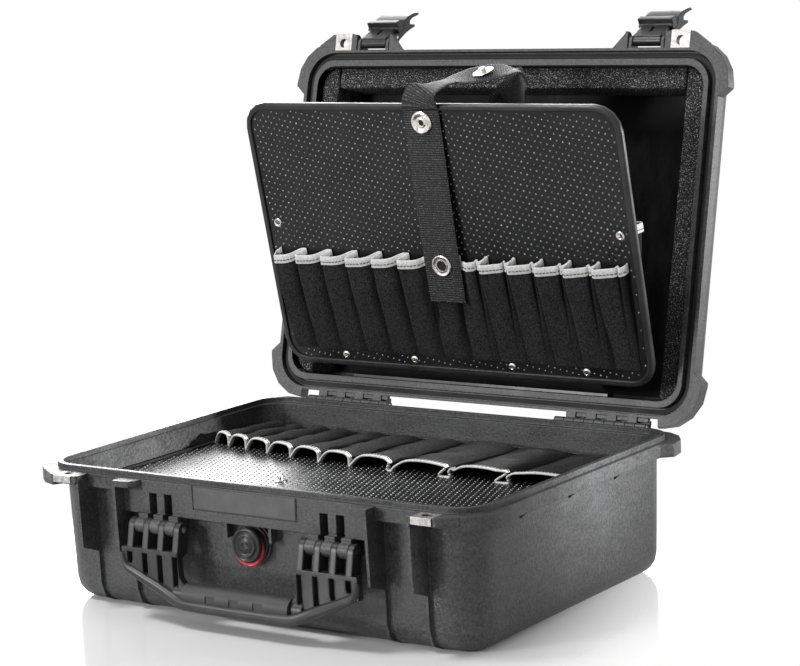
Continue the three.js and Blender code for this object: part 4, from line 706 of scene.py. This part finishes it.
def strap(name, places, widths_way):
    """Ribbed webbing through places, each with the way across the strap there."""
    stations, length = evenly(through(places, 8), through(widths_way, 8), RIB_PITCH / RIB_STEPS)
    line = [at for at, way in stations]
    upper, lower = [], []
    for i, (at, way) in enumerate(stations):
        along = line_way(line, i)
        across = (way - along * way.dot(along)).normalized()
        face = across.cross(along)
        rib = RIB_RISE * abs(math.sin(math.pi * i / RIB_STEPS)) ** 0.6
        row_up, row_low = [], []
        for u in STRAP_COLUMNS:
            edge = 1.0 if abs(u) < 0.93 else 0.35
            half = STRAP_THICK / 2 - RIB_RISE / 2 + rib * (0.55 if 0.8 < abs(u) < 0.95 else 1.0)
            wave = 0.12 * fields.noise(Vector((u * 1.5, i * 0.05, 3.0)))
            middle = at + across * u * STRAP_WIDTH / 2 * MM
            row_up.append(middle + face * (half * edge + wave) * MM)
            row_low.append(middle - face * (half * edge - wave) * MM)
        upper.append(row_up)
        lower.append(row_low)
    rows, count = len(upper), len(STRAP_COLUMNS)
    points = [point for row in upper + lower for point in row]
    layer = rows * count
    faces = layer_faces(rows, count)
    for j in (0, rows - 1):
        a = j * count
        faces.append(tuple(range(a, a + count)) + tuple(layer + a + i for i in range(count - 1, -1, -1)))
    obj = piece(name, points, faces, "webbing", 50)
    # Painted light on the ribs: each row's rise, read by the webbing's tone
    painted_rib_light = obj.data.attributes.new("rib", "FLOAT", "POINT")
    for k, value in enumerate(painted_rib_light.data):
        value.value = abs(math.sin(math.pi * ((k % layer) // count) / RIB_STEPS))
    return obj, length


# Heights on the lid board and distances off it: the snap, the ring, and the hanging strap's places
SNAP_H, RING_H = 254.0, 114.0
STRAP_OFF, TAIL_OFF = 2.7, 7.5
TAIL = [
    (77, 7.9), (95, 7.6), (121, 7.5), (150, 6.8), (190, 5.2), (224, 3.6), (240, 2.75), (254, 2.7),
    (265.5, 2.7),
]
tail, tail_length = strap(
    "hanging_strap", [on_lid_board(0, h, off) for h, off in TAIL], [X_WAY] * len(TAIL)
)
place_piece(tail, "strap_tail")

# The loop's places from the board's top edge, with the way across it, then in Y and Z on the ceiling
TOP_EDGE = on_lid_board(0, BOARD_HEIGHT, STRAP_OFF)
OVER_THE_BOARD = [
    ((5, 0.8, 12), (0.98, -0.2, -0.07)), ((9.5, 6, 16), (0.89, -0.45, -0.06)),
    ((13.5, 14, 18.5), (0.77, -0.63, -0.02)), ((17.5, 23, 19.8), (0.66, -0.75, -0.02)),
    ((26, 33, 22), (0.69, -0.7, -0.18)), ((36, 41.5, 24.2), (0.69, -0.67, -0.27)),
    ((47, 50, 26.4), (0.69, -0.67, -0.27)), ((59, 58.5, 27.6), (0.67, -0.71, -0.2)),
    ((68, 65.5, 26.3), (0.58, -0.81, 0)), ((71, 70, 21), (0.6, -0.78, -0.08)),
    ((68, 73, 14), (0.56, -0.67, -0.49)), ((61, 77, 6), (0.63, -0.35, -0.68)),
    ((51, 83, -2), (0.75, -0.1, -0.6)), ((40, 91, -9), (0.88, 0.15, -0.4)),
    ((29, 103, -15), (0.95, 0.25, -0.15)), ((17, 122, -22), (1, 0.1, 0)),
]
LOOP_X = 6
CEILING = [(-88.3, 153.7), (-75.6, 168.8), (-69.9, 171.8), (-60, 171.8), (-49.9, 171.8)]
loop_places = [on_lid_board(0, 266.4, STRAP_OFF), TOP_EDGE]
loop_places += [TOP_EDGE + Vector(offset) * MM for offset, way in OVER_THE_BOARD]
loop_places += [in_open_lid(LOOP_X, y, z) for y, z in CEILING]
loop_ways = [X_WAY] * 2 + [Vector(way) for offset, way in OVER_THE_BOARD] + [X_WAY] * len(CEILING)
loop, loop_length = strap("strap_over_board", loop_places, loop_ways)
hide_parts("strap_loop")


# Metal pieces turned about their own axes
def turned_piece(name, node, centre, way, profile, material="steel", hollow=False, sides=40, ride=True):
    obj = joined(name, [lathe(centre, way, profile, sides, hollow)], material, 40)
    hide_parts(node)
    if ride:
        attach(obj, BODY_OF[node])
    return obj


SNAP = [
    (10.4, 0.0), (11.0, 0.5), (11.1, 1.2), (10.5, 2.0), (9.4, 2.4), (8.4, 2.1), (7.4, 1.4), (6.0, 0.9),
    (4.9, 0.9), (4.5, 1.4), (3.9, 1.9), (3.2, 1.8), (2.8, 1.2), (2.6, 0.1), (0.3, 0.05),
]
snap_at = on_lid_board(0, SNAP_H, STRAP_OFF + 0.95)
turned_piece("snap_cap", "strap_snap_cap", snap_at, BOARD_OUT, SNAP)
RING = [
    (5.4, -1.6), (5.4, 0.0), (10.3, 0.0), (10.8, 0.5), (10.6, 1.2), (9.6, 1.7), (8.2, 1.3), (6.8, 0.9),
    (6.0, 1.2), (5.2, 1.1), (4.8, 0.3), (4.8, -1.6),
]
ring_at = on_lid_board(0, RING_H, TAIL_OFF + 1.0)
turned_piece("strap_socket", "strap_snap_socket", ring_at, BOARD_OUT, RING, hollow=True)
stud_way = Vector((-0.12, -0.33, 0.94)).normalized()
stud_at = TOP_EDGE + Vector((42.5, 46.4, 25.6)) * MM + stud_way * 1.3 * MM
STUD = [
    (10.2, 0.0), (10.6, 0.5), (9.8, 1.2), (8.4, 1.1), (6.4, 0.6), (4.0, 0.6), (3.2, 1.0), (3.0, 3.2),
    (3.4, 3.8), (2.6, 4.6), (0.3, 4.7),
]
loop_stud = turned_piece("loop_stud", "strap_loop_stud", stud_at, stud_way, STUD, ride=False)
loop_end = tuple(in_open_lid(LOOP_X, *CEILING[1]))
for obj in (loop, loop_stud):
    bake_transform(obj, "lid_board_set", "lid", start=tuple(TOP_EDGE), end=loop_end)

# Dark discs in the open middles of the snap and the ring, painted shade that stands for the holes' depth, as
# shares of their radius and heights
HOLE_SHADE_DISC = [(1.0, -0.2), (1.0, 0.12), (0.9, 0.2), (0.05, 0.2)]
for name, at, radius in (
    ("snap_hole_shade", snap_at + BOARD_OUT * 0.15 * MM, 2.6),
    ("ring_hole_shade", on_lid_board(0, RING_H, TAIL_OFF + 0.95), 4.75),
):
    disc = lathe(at, BOARD_OUT, [(share * radius, height) for share, height in HOLE_SHADE_DISC], 28)
    hollow = joined(name, [disc], "seal_rubber", 40)
    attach(hollow, "lid_board_set")


def block(name, corner, far, put, body):
    """A small moulded block with eased corners between two opposite corners."""
    made = bmesh.new()
    bmesh.ops.create_cube(made, size=1.0)
    for vertex in made.verts:
        vertex.co = Vector([(a + b) / 2 + v * (b - a) for a, b, v in zip(corner, far, vertex.co)])
    bmesh.ops.bevel(made, geom=list(made.edges), offset=0.35, segments=2, affect="EDGES")
    points = [put(*vertex.co) for vertex in made.verts]
    faces = [tuple(vertex.index for vertex in face.verts) for face in made.faces]
    made.free()
    obj = piece(name, points, faces, "moulded_plastic", 40)
    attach(obj, body)
    return obj


# Webs and lips that close the slits beside the hinges and under the latches
HINGE_ENDS = {"left": (-183.5, -99), "right": (106.5, 195)}
for kind, low, high in (
    ("web", (172.8, 124.9), (177.5, 128.6)),
    ("lip", (175.5, 129.3), (182.4, 131.3)),
):
    for side, (start, end) in HINGE_ENDS.items():
        block(f"hinge_{kind}_{side}", (start, *low), (end, *high), in_open_lid, "lid")
LATCH_X, WEB_HALF = 157.3, 15.4
for side, x in (("left", -LATCH_X), ("right", LATCH_X)):
    low, high = (x - WEB_HALF, -175.3, 132.3), (x + WEB_HALF, -173.0, 135.2)
    block(f"latch_web_{side}", low, high, in_open_lid, "lid")
nameplate = block("blank_nameplate", (-55.4, -174.95, 103.2), (55.4, -174.2, 122.2), in_base, "base")
set_material(nameplate, "plate_plastic")

# The right half of the handle's thick lower edge, in X, Y and Z, with its half depth and half height
RIM = [
    (18, -193.0, 21.6, 5.4, 5.2), (46, -193.0, 21.8, 5.4, 5.2), (60, -192.4, 22.4, 5.4, 5.3),
    (70, -191.0, 25.4, 5.3, 5.3), (82, -189.9, 30.6, 5.1, 5.0), (97, -189.6, 36.8, 4.9, 4.6),
    (112, -189.4, 43.0, 4.7, 4.2), (123, -189.2, 48.4, 4.5, 3.9), (126.4, -188.8, 55.0, 4.2, 3.0),
    (126.8, -188.6, 61.0, 3.6, 2.2),
]


def boxy(value):
    """A sine or cosine swelled towards a rounded box."""
    return math.copysign(abs(value) ** 0.7, value)


def handle_rim(sides=20):
    both = [(-x, *more) for x, *more in reversed(RIM)] + RIM
    line = through([Vector((x, y, z)) for x, y, z, deep, tall in both], 5)
    sizes = through([Vector((deep, tall, abs(x) * 0.01)) for x, y, z, deep, tall in both], 5)
    points = []
    for i, (at, size) in enumerate(zip(line, sizes)):
        down = line_way(line, i).cross(Y_WAY).normalized()
        for k in range(sides):
            turn = 2 * math.pi * k / sides
            out, fall = boxy(math.cos(turn)) * size.x, boxy(math.sin(turn)) * size.y
            points.append((at + Y_WAY * out + down * fall) * MM)
    faces = tube_faces(len(line), sides) + end_caps(len(line), sides)
    obj = piece("handle_rim", points, faces, "gloss_plastic", 60)
    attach(obj, "handle")


handle_rim()

RED_AT = Vector((-2.4, -164.7, 71.6)) * MM
RED = [(16.0, 0.0), (16.4, 1.2), (16.3, 3.6), (15.2, 4.8), (13.2, 4.9), (12.4, 3.8), (12.2, 0.0)]
turned_piece("purge_ring", "valve_ring", RED_AT, -Y_WAY, RED, "red_rubber", hollow=True)
KNOB_Y, KNOB_Z = -170.0, 76
KNOB = [
    (13.4, 0.0), (15.0, 0.8), (15.4, 2.0), (15.3, 4.6), (14.6, 5.6), (13.4, 5.9), (12.5, 5.4), (12.1, 4.4),
    (11.0, 4.4), (10.6, 5.6), (9.8, 6.4), (8.4, 6.5), (7.9, 5.7), (7.0, 5.6), (6.5, 6.3), (5.6, 6.7),
    (0.3, 6.8),
]
knob_parts = [lathe(in_base(0, KNOB_Y, KNOB_Z), -Y_WAY, KNOB, 48)]
# Three raised arcs round its middle
for turn in range(3):
    arc = []
    for step in range(7):
        angle = math.radians(120 * turn + 15 + 10 * step)
        for radius, depth in ((2.6, 6.6), (3.9, 6.6), (3.9, 7.6), (2.6, 7.6)):
            aside, up = radius * math.cos(angle), radius * math.sin(angle)
            arc.append(in_base(aside, KNOB_Y - depth, KNOB_Z + up))
    knob_parts.append((arc, tube_faces(7, 4) + end_caps(7, 4)))
knob = joined("purge_knob", knob_parts, "gloss_plastic", 40)
place_piece(knob, "valve_knob")

RIVET = [(3.8, 0.0), (4.0, 0.4), (3.4, 1.0), (2.2, 1.3), (1.8, 1.1), (1.2, 1.1), (0.2, 1.2)]
for index, x in enumerate((-138, -56, 56, 138), 1):
    at = on_lid_board(x, 11.6, 0.2)
    turned_piece(f"rivet_{index}", f"flap_rivet_{index}", at, BOARD_OUT, RIVET, sides=24)
EYELET = [(2.3, -3.4), (2.3, 0.3), (3.0, 1.0), (4.0, 0.9), (4.5, 0.3), (4.3, 0.0), (3.0, 0.0), (2.9, -3.4)]
for side, x in (("left", -194), ("right", 194)):
    at = on_lid_board(x, 148, 0.1)
    name, node = f"eyelet_{side}", f"lid_board_eyelet_{side}"
    turned_piece(name, node, at, BOARD_OUT, EYELET, hollow=True, sides=24)
BASE_STUD = [
    (6.0, 0.2), (6.0, 1.0), (4.6, 1.4), (2.6, 1.6), (2.3, 3.6), (2.9, 4.4), (2.7, 5.2), (1.4, 5.6),
    (0.2, 5.6),
]
turned_piece("board_stud", "base_board_stud", on_base_board(-50, -57, 0), Z_WAY, BASE_STUD)


# Lid board pockets: their pleats' mouth lines, as shares of a pocket's width and of its lift
PLEAT = [
    (0.12, 0.0), (-0.08, 0.5), (-0.17, 0.93), (-0.12, 1.0), (0.1, 0.98), (0.4, 0.9), (0.62, 0.68),
    (0.8, 0.3), (0.95, 0.03), (1.03, 0.0),
]
BOXED = [
    (0.06, 0.0), (-0.05, 0.5), (-0.09, 0.93), (-0.05, 1.0), (0.1, 0.98), (0.4, 0.84), (0.67, 0.66),
    (0.71, 0.42), (0.75, 0.4), (0.79, 0.64), (0.9, 0.52), (0.98, 0.25), (1.0, 0.04),
]
# The back's last pocket gapes
GAPING = [
    (0.02, 0.0), (0.04, 0.2), (0.2, 0.5), (0.45, 0.8), (0.7, 0.96), (0.9, 1.0), (0.96, 0.97),
    (0.985, 0.8), (0.995, 0.4),
]
# Under the hanging strap the cloth stands off no more than a limit, easing between two distances
STRAP_LIMIT, STRAP_INNER, STRAP_OUTER = 4.3, 21.0, 29.0
FLAT, SAG = 0.12, 5.5
# The curve's scale for lifts, which are shares
LIFT = 9.0
CLOTH_THICK, LID_ROWS, BASE_ROWS = 0.8, 28, 26


def clamped(value, low=0.0, high=1.0):
    return min(max(value, low), high)


def pocket_line(pockets, half, shapes):
    """The mouth's line as (x, lift share, pocket)."""
    width = 2 * half / pockets
    line = []
    for k in range(pockets):
        for share, lift in shapes(k):
            if k == 0:
                share = max(share, 0.0)
            line.append(Vector((-half + (k + share) * width, lift * LIFT, k * 0.001)))
    line.append(Vector((half, 0.0, pockets * 0.001)))
    return [
        (at.x, clamped(at.y / LIFT, 0.0, 1.03), min(round(at.z * 1000), pockets - 1))
        for at in through(line, 4)
    ]


def pocket_grid(line, half, high, bulge, seed, pockets, soft, strapped):
    """Rows of (x, height, off) from the foot to the mouth, and how light each place is painted: low cloth
    darker, as painted shade in the valleys.
    """
    grid, painted_valley_shades = [], []
    width = 2 * half / pockets
    for j in range(LID_ROWS + 1):
        up = j / LID_ROWS
        row, shown = [], []
        for x, lift, pocket in line:
            fade = up ** 1.5 if soft(pocket) else up
            full = min(1.0, 0.12 + 1.1 * fade ** 0.7)
            deep = min(1.0, 0.25 + fade * 1.1) ** 0.8
            home = -half + (pocket + 0.5) * width
            uneven = 1 + 0.22 * fields.noise(Vector((pocket * 3.7, 1.0, seed)))
            slack = fields.noise(Vector((pocket * 5.1, 9.0, seed))) * 3.0 * up
            loose = slack * (1 - abs(2 * (x - home) / width) ** 2 * 0.6)
            across = clamped(home + (x - home) * (1 - 0.12 * (1 - up)) + loose, -half, half)
            level = FLAT + (1 - FLAT) * (lift * deep + (1 - deep) * 0.6)
            height = FRONT_LOW + (high - FRONT_LOW + SAG * (0.45 - lift) * uneven) * up
            crease = fields.noise(Vector((across * 0.045, height * 0.02, seed)))
            fine = fields.noise(Vector((across * 0.15, height * 0.045, seed + 7)))
            ripple = (crease * 1.5 + fine * 0.6) * min(1.0, 4 * up * (1.1 - up)) * (0.3 + 0.7 * level)
            out = bulge[1] * (0.2 + 0.8 * up) if pocket == pockets - 1 else bulge[0]
            off = max(0.5 + out * uneven * full * level + ripple, 0.4)
            beside = clamped((abs(across) - STRAP_INNER) / (STRAP_OUTER - STRAP_INNER))
            if strapped and off > STRAP_LIMIT:
                off = STRAP_LIMIT + (off - STRAP_LIMIT) * beside * beside * (3 - 2 * beside)
            row.append((across, height, off))
            # Painted valley shade: the lower the cloth's lift, the darker its share
            shown.append(clamped((lift * deep + (1 - deep) * 0.75 - 0.3) / 0.5))
        grid.append(row)
        painted_valley_shades.append(shown)
    return grid, painted_valley_shades


def make_pocket_cloth(name, node, grid, painted_valley_shades, put, held_on):
    """The cloth over a grid, with its flat size and its area."""
    places = [[put(*point) for point in row] for row in grid]
    rows, columns = len(places), len(places[0])

    def outward(i, j):
        a = places[j][min(i + 1, columns - 1)] - places[j][max(i - 1, 0)]
        b = places[min(j + 1, rows - 1)][i] - places[max(j - 1, 0)][i]
        normal = a.cross(b).normalized()
        return normal if normal.dot(held_on) > 0 else -normal

    points, faces = skin(places, CLOTH_THICK, outward)
    obj = piece(name, points, faces, "pocket_cloth", 70)
    # Painted shade in the valleys, stored on the cloth for its material
    shown = obj.data.attributes.new("painted_valley_shade", "FLOAT", "POINT")
    for k, value in enumerate(shown.data):
        value.value = painted_valley_shades[(k % (rows * columns)) // columns][k % columns]
    place_piece(obj, node)
    length = running_lengths(places[-1])[-1]
    tall = running_lengths([row[columns // 2] for row in places])[-1]
    area = 0.0
    for j in range(rows - 1):
        for i in range(columns - 1):
            a, b, c, d = places[j][i], places[j][i + 1], places[j + 1][i + 1], places[j + 1][i]
            area += ((b - a).cross(c - a).length + (c - a).cross(d - a).length) / 2
    return obj, (length, tall), area


# The tape's section in shares, its (width, thickness, stitches' place) on each board, its stitches
TAPE = [
    (-0.5, 0.0), (-0.5, 0.55), (-0.42, 0.9), (-0.15, 1.0), (0.15, 1.0), (0.42, 0.9), (0.5, 0.55), (0.5, 0.0),
]
LID_TAPE, BASE_TAPE = (8.6, 1.9, 5.6), (5.0, 2.0, 3.2)
STITCH_PITCH, STITCH_START, STITCH_END = 3.7, 1.2, 1.5
STITCH_X, STITCH_Y, STITCH_SINK, STITCH_RISE = 1.35, 0.42, -0.3, 0.22
BOX_FACES = [(3, 2, 1, 0), (4, 5, 6, 7), (0, 1, 5, 4), (1, 2, 6, 5), (2, 3, 7, 6), (3, 0, 4, 7)]


def band(name, node, mouth, down, out_hint, width, thickness, stitch_at):
    """Folded tape along a mouth's places, over the cloth's edge, and stitches along it."""
    points, normals = [], []
    for i, at in enumerate(mouth):
        normal = line_way(mouth, i).cross(down).normalized()
        if normal.dot(out_hint) < 0 and abs(normal.dot(out_hint)) > 0.35:
            normal = -normal
        normals.append(normal)
        for out, up in TAPE:
            swell = 1 + 0.1 * fields.noise(at * 90)
            points.append(at + normal * out * thickness * swell * MM + down * width * (1 - up) * MM)
    faces = tube_faces(len(mouth), len(TAPE)) + end_caps(len(mouth), len(TAPE))
    tape = piece(name, points, faces, "binding_tape", 60)
    place_piece(tape, node)

    lengths = running_lengths(mouth)
    dashes = []
    goal = STITCH_START * MM
    while goal < lengths[-1] - STITCH_END * MM:
        k, share = span_at(lengths, goal)
        at = mouth[k].lerp(mouth[k + 1], share)
        along = (mouth[k + 1] - mouth[k]).normalized()
        normal = normals[k]
        centre = at + down * stitch_at * MM + normal * (thickness / 2 + 0.05) * MM
        corners = []
        for n in (STITCH_SINK, STITCH_RISE):
            for u, v in ((-1, -1), (1, -1), (1, 1), (-1, 1)):
                flat_corner = centre + along * u * STITCH_X * MM + down * v * STITCH_Y * MM
                corners.append(flat_corner + normal * n * MM)
        dashes.append((corners, BOX_FACES))
        goal += STITCH_PITCH * MM
    stitches = joined(name + "_stitches", dashes, "stitch_thread")
    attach(stitches, BODY_OF[node])
    return [tape, stitches]


def finish_pockets(name, nodes, tape_name, grid, painted_valley_shades, put, out, mouth, down, tape):
    """Makes pocket cloth and its tape, a sheet on its board, each with a mesh of its own."""
    cloth, flat, area = make_pocket_cloth(name, nodes[0], grid, painted_valley_shades, put, out)
    trims = band(tape_name, nodes[1], mouth, down, out, *tape)
    area = min(area, flat[0] * flat[1])
    for soft_piece in (cloth, *trims):
        tuple(put(0, 0, 0))
        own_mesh(soft_piece)


def on_board_back(x, height, off):
    return on_lid_board(x, height, -BOARD_THICK - 0.3 - off)


def lid_pockets(name, nodes, pockets, half, mouth, bulge, shapes, face, seed, soft):
    """Pockets on the lid board's front for a face of 1, or on its back for a face of -1."""
    put = on_lid_board if face > 0 else on_board_back
    line = pocket_line(pockets, half, shapes)
    grid, painted_valley_shades = pocket_grid(line, half, mouth - 1.5, bulge, seed, pockets, soft, face > 0)
    top = [put(x, h + 1.2, off) for x, h, off in grid[-1]]
    finish_pockets(
        name, nodes, name + "_tape", grid, painted_valley_shades, put, BOARD_OUT * face, top, -BOARD_UP, LID_TAPE,
    )


lid_pockets(
    "front_pocket_cloth", ("lid_board_front_pockets", "lid_board_front_binding"), FRONT_POCKETS,
    FRONT_HALF, FRONT_MOUTH, (10.0, 10.0), lambda k: PLEAT if k < 7 else BOXED, 1, 2.0, lambda k: k > 6,
)
lid_pockets(
    "back_pocket_cloth", ("lid_board_back_pockets", "lid_board_back_binding"), BACK_POCKETS,
    BACK_HALF, BACK_MOUTH, (6.0, 37.0), lambda k: GAPING if k == BACK_POCKETS - 1 else BOXED, -1, 9.0,
    lambda k: True,
)

# Base board pockets: each arch rises gently on its left, is flat on top and drops steeply on its right
ARCH = [
    (0.0, 0.0), (0.06, 0.22), (0.17, 0.6), (0.3, 0.88), (0.5, 1.0), (0.75, 0.98), (0.9, 0.9),
    (0.985, 0.66), (0.995, 0.3), (1.0, 0.0),
]
ARCH_RISE = 12.2
# The foot between two arches, in millimetres from the seam: a small loop of cloth at the wide pockets
FEET = {
    7: [(-0.4, 7.5), (-2.6, 2.6), (-1.8, 0.5), (2.4, 0.4), (3.4, 2.4)],
    8: [(1.6, 9.2), (-6.0, 2.2), (-5.6, 0.5), (6.2, 0.5), (4.6, 5.4), (8.0, 8.4)],
    9: [(5.6, 10.2), (-6.8, 1.6), (-6.6, 0.5), (7.2, 0.5), (5.6, 5.6), (10.2, 8.8)],
}


def base_line():
    """The mouth's line as (x, height, x at the back)."""
    line = []
    for k, (left, right) in enumerate(zip(BASE_SEAMS, BASE_SEAMS[1:])):
        start = left + max(x for x, z in FEET[k]) + 2 if k in FEET else left
        for share, height in ARCH:
            x = left + share * (right - left)
            in_foot = x < start or (k + 1 in FEET and share > 0.93)
            if in_foot or (share == 0.0 and k > 0):
                continue
            line.append((x, height * ARCH_RISE, x))
        if k + 1 in FEET:
            for x, z in FEET[k + 1]:
                line.append((right + x, z, right + x * 0.3))
    return through([Vector(point) for point in line], 5)


def base_pockets():
    line = base_line()
    grid, painted_valley_shades = [], []
    for j in range(BASE_ROWS + 1):
        depth = j / BASE_ROWS
        row, shown = [], []
        for point in line:
            fade = max(0.0, 1 - depth * 5)
            x = point.z + (point.x - point.z) * fade
            mouth = base_mouth_at(point.x)
            y = mouth + 1.5 + (BASE_BACK - mouth - 1.5) * depth
            low = 5.0 + 7.2 * (1 - depth) ** 1.1
            along = clamped(base_pocket_at(point.z)[1])
            tube = max(math.sin(math.pi * along), 0.0) ** 0.75
            arch = max(point.y, 0.0) / ARCH_RISE
            share = arch + (tube - arch) * min(1.0, depth * 3.5)
            slant = fields.noise(Vector((x * 0.03 - y * 0.012, y * 0.025, 4.0)))
            fine = fields.noise(Vector((x * 0.1, y * 0.06, 11.0)))
            wrinkle = (slant * 3.4 + fine * 0.9) * share * min(1.0, depth * 4)
            row.append((x, y, 0.45 + max(share * low + wrinkle, 0.0)))
            # Painted valley shade from the arch's height, with a noisy wrinkle
            shown.append(clamped(share * 1.25 - 0.2 + slant * 0.5))
        grid.append(row)
        painted_valley_shades.append(shown)
    mouth = [on_base_board(x, y - 1.5, off) for x, y, off in grid[0]]
    finish_pockets(
        "base_pocket_cloth", ("base_board_pockets", "base_board_binding"), "base_pocket_tape", grid,
        painted_valley_shades, on_base_board, Z_WAY, mouth, Y_WAY, BASE_TAPE,
    )


base_pockets()


# Foam liners with a softly uneven skin
def foam_piece(node):
    obj = linked_copy(node, node + "_look")
    remesh = obj.modifiers.new("remesh", "REMESH")
    remesh.mode = "VOXEL"
    remesh.voxel_size = 3.0 * MM
    bpy.context.view_layer.update()
    graph = bpy.context.evaluated_depsgraph_get()
    data = bpy.data.meshes.new_from_object(obj.evaluated_get(graph))
    obj.modifiers.clear()
    obj.data = data
    for vertex in data.vertices:
        shift = fields.noise(vertex.co * 140) * 0.22 + fields.noise(vertex.co * 30) * 0.25
        vertex.co += vertex.normal * (shift - 0.25) * MM
    set_material(obj, "foam")
    for polygon in data.polygons:
        polygon.use_smooth = True
    place_piece(obj, node)


for node in frame["nodes"]:
    if SLOT_OF[node] == "foam":
        foam_piece(node)


# The flap between the lid and the leaning board bends at both ends
FLAP_INSET = 0.004
flap = linked_copy("lid_board_flap", "board_flap")
smooth(flap, 50, welded=True)
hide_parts("lid_board_flap")
low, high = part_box("lid_board_flap")
flap_start, flap_end = (0.0, high[1] - FLAP_INSET, low[2]), (0.0, low[1] + FLAP_INSET, high[2])
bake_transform(flap, "lid", "lid_board_set", start=flap_start, end=flap_end)


# The floor, which fades out round the case, the world, which lights softly but shows white, the lamps
SOFT_WHITE, FULL_WHITE = 0.42, 1.0
FADE_START, FADE_END = 0.33, 0.49


def make_floor():
    data = bpy.data.meshes.new("floor")
    data.from_pydata([(-6, -6, 0), (6, -6, 0), (6, 6, 0), (-6, 6, 0)], [], [(0, 1, 2, 3)])
    floor = new_object("floor", data)
    made = Shader("floor", (0.84, 0.84, 0.84), 0.1, spec=0.5)
    made.tint(made.noise(3, 2), (0.83, 0.83, 0.83), (0.86, 0.86, 0.86))
    from_middle = {0: made.stretched(1.2, 1.0, 1.0), 1: (-0.08, -0.12, 0.0)}
    ring = made.node("ShaderNodeVectorMath", from_middle, operation="DISTANCE").outputs["Value"]
    far = made.spread(ring, 0.0, 1.0, FADE_START, FADE_END)
    clear = made.node("ShaderNodeBsdfTransparent").outputs["BSDF"]
    mixed = made.node("ShaderNodeMixShader", {0: far, 1: made.surface.outputs["BSDF"], 2: clear})
    made.tree.links.new(mixed.outputs["Shader"], made.tree.nodes["Material Output"].inputs["Surface"])
    data.materials.append(made.material)


def make_world():
    world = bpy.data.worlds.new("studio")
    world.use_nodes = True
    bpy.context.scene.world = world
    tree = world.node_tree
    path = add_node(tree, "ShaderNodeLightPath").outputs
    rays = {0: path["Is Camera Ray"], 1: path["Is Glossy Ray"]}
    lit = add_node(tree, "ShaderNodeMath", rays, operation="MAXIMUM")
    rays = {0: lit.outputs[0], 1: path["Is Transmission Ray"]}
    shown = add_node(tree, "ShaderNodeMath", rays, operation="MAXIMUM")
    shaders = {0: shown.outputs[0]}
    for socket, strength in ((1, SOFT_WHITE), (2, FULL_WHITE)):
        inputs = {"Color": (1, 1, 1, 1), "Strength": strength}
        shaders[socket] = add_node(tree, "ShaderNodeBackground", inputs).outputs[0]
    mixed = add_node(tree, "ShaderNodeMixShader", shaders)
    tree.links.new(mixed.outputs[0], tree.nodes["World Output"].inputs["Surface"])


def place_light(name, data, at, towards, power):
    data.energy = power
    light = new_object(name, data)
    light.location = at
    light.rotation_euler = (Vector(towards) - Vector(at)).to_track_quat("-Z", "Y").to_euler()


def add_light(name, at, towards, size, power):
    data = bpy.data.lights.new(name, "AREA")
    data.shape = "RECTANGLE"
    data.size, data.size_y = size
    place_light(name, data, at, towards, power)


def add_beam(name, at, towards, angle, power):
    data = bpy.data.lights.new(name, "SPOT")
    data.spot_size = math.radians(angle)
    data.spot_blend = 1.0
    data.shadow_soft_size = 0.06
    place_light(name, data, at, towards, power)


make_floor()
make_world()
add_light("key", (-1.7, 1.8, 1.1), (0, 0, 0.15), (2.0, 1.4), 78)
add_light("right", (2.3, 1.0, 0.36), (0, 0, 0.12), (0.7, 0.5), 7)
add_beam("side_beam", (2.3, 0.6, 0.5), (0.23, 0.05, 0.165), 7.6, 720)
add_beam("lid_beam", (2.3, 1.9, 0.5), (0.24, 0.2, 0.36), 9.0, 380)
add_light("front", (-1.2, -2.2, 0.8), (0, 0, 0.16), (0.5, 0.4), 38)
add_light("top", (-0.8, -0.9, 2.4), (0, 0, 0.2), (0.6, 0.6), 38)
bpy.context.scene.view_settings.view_transform = "Standard"
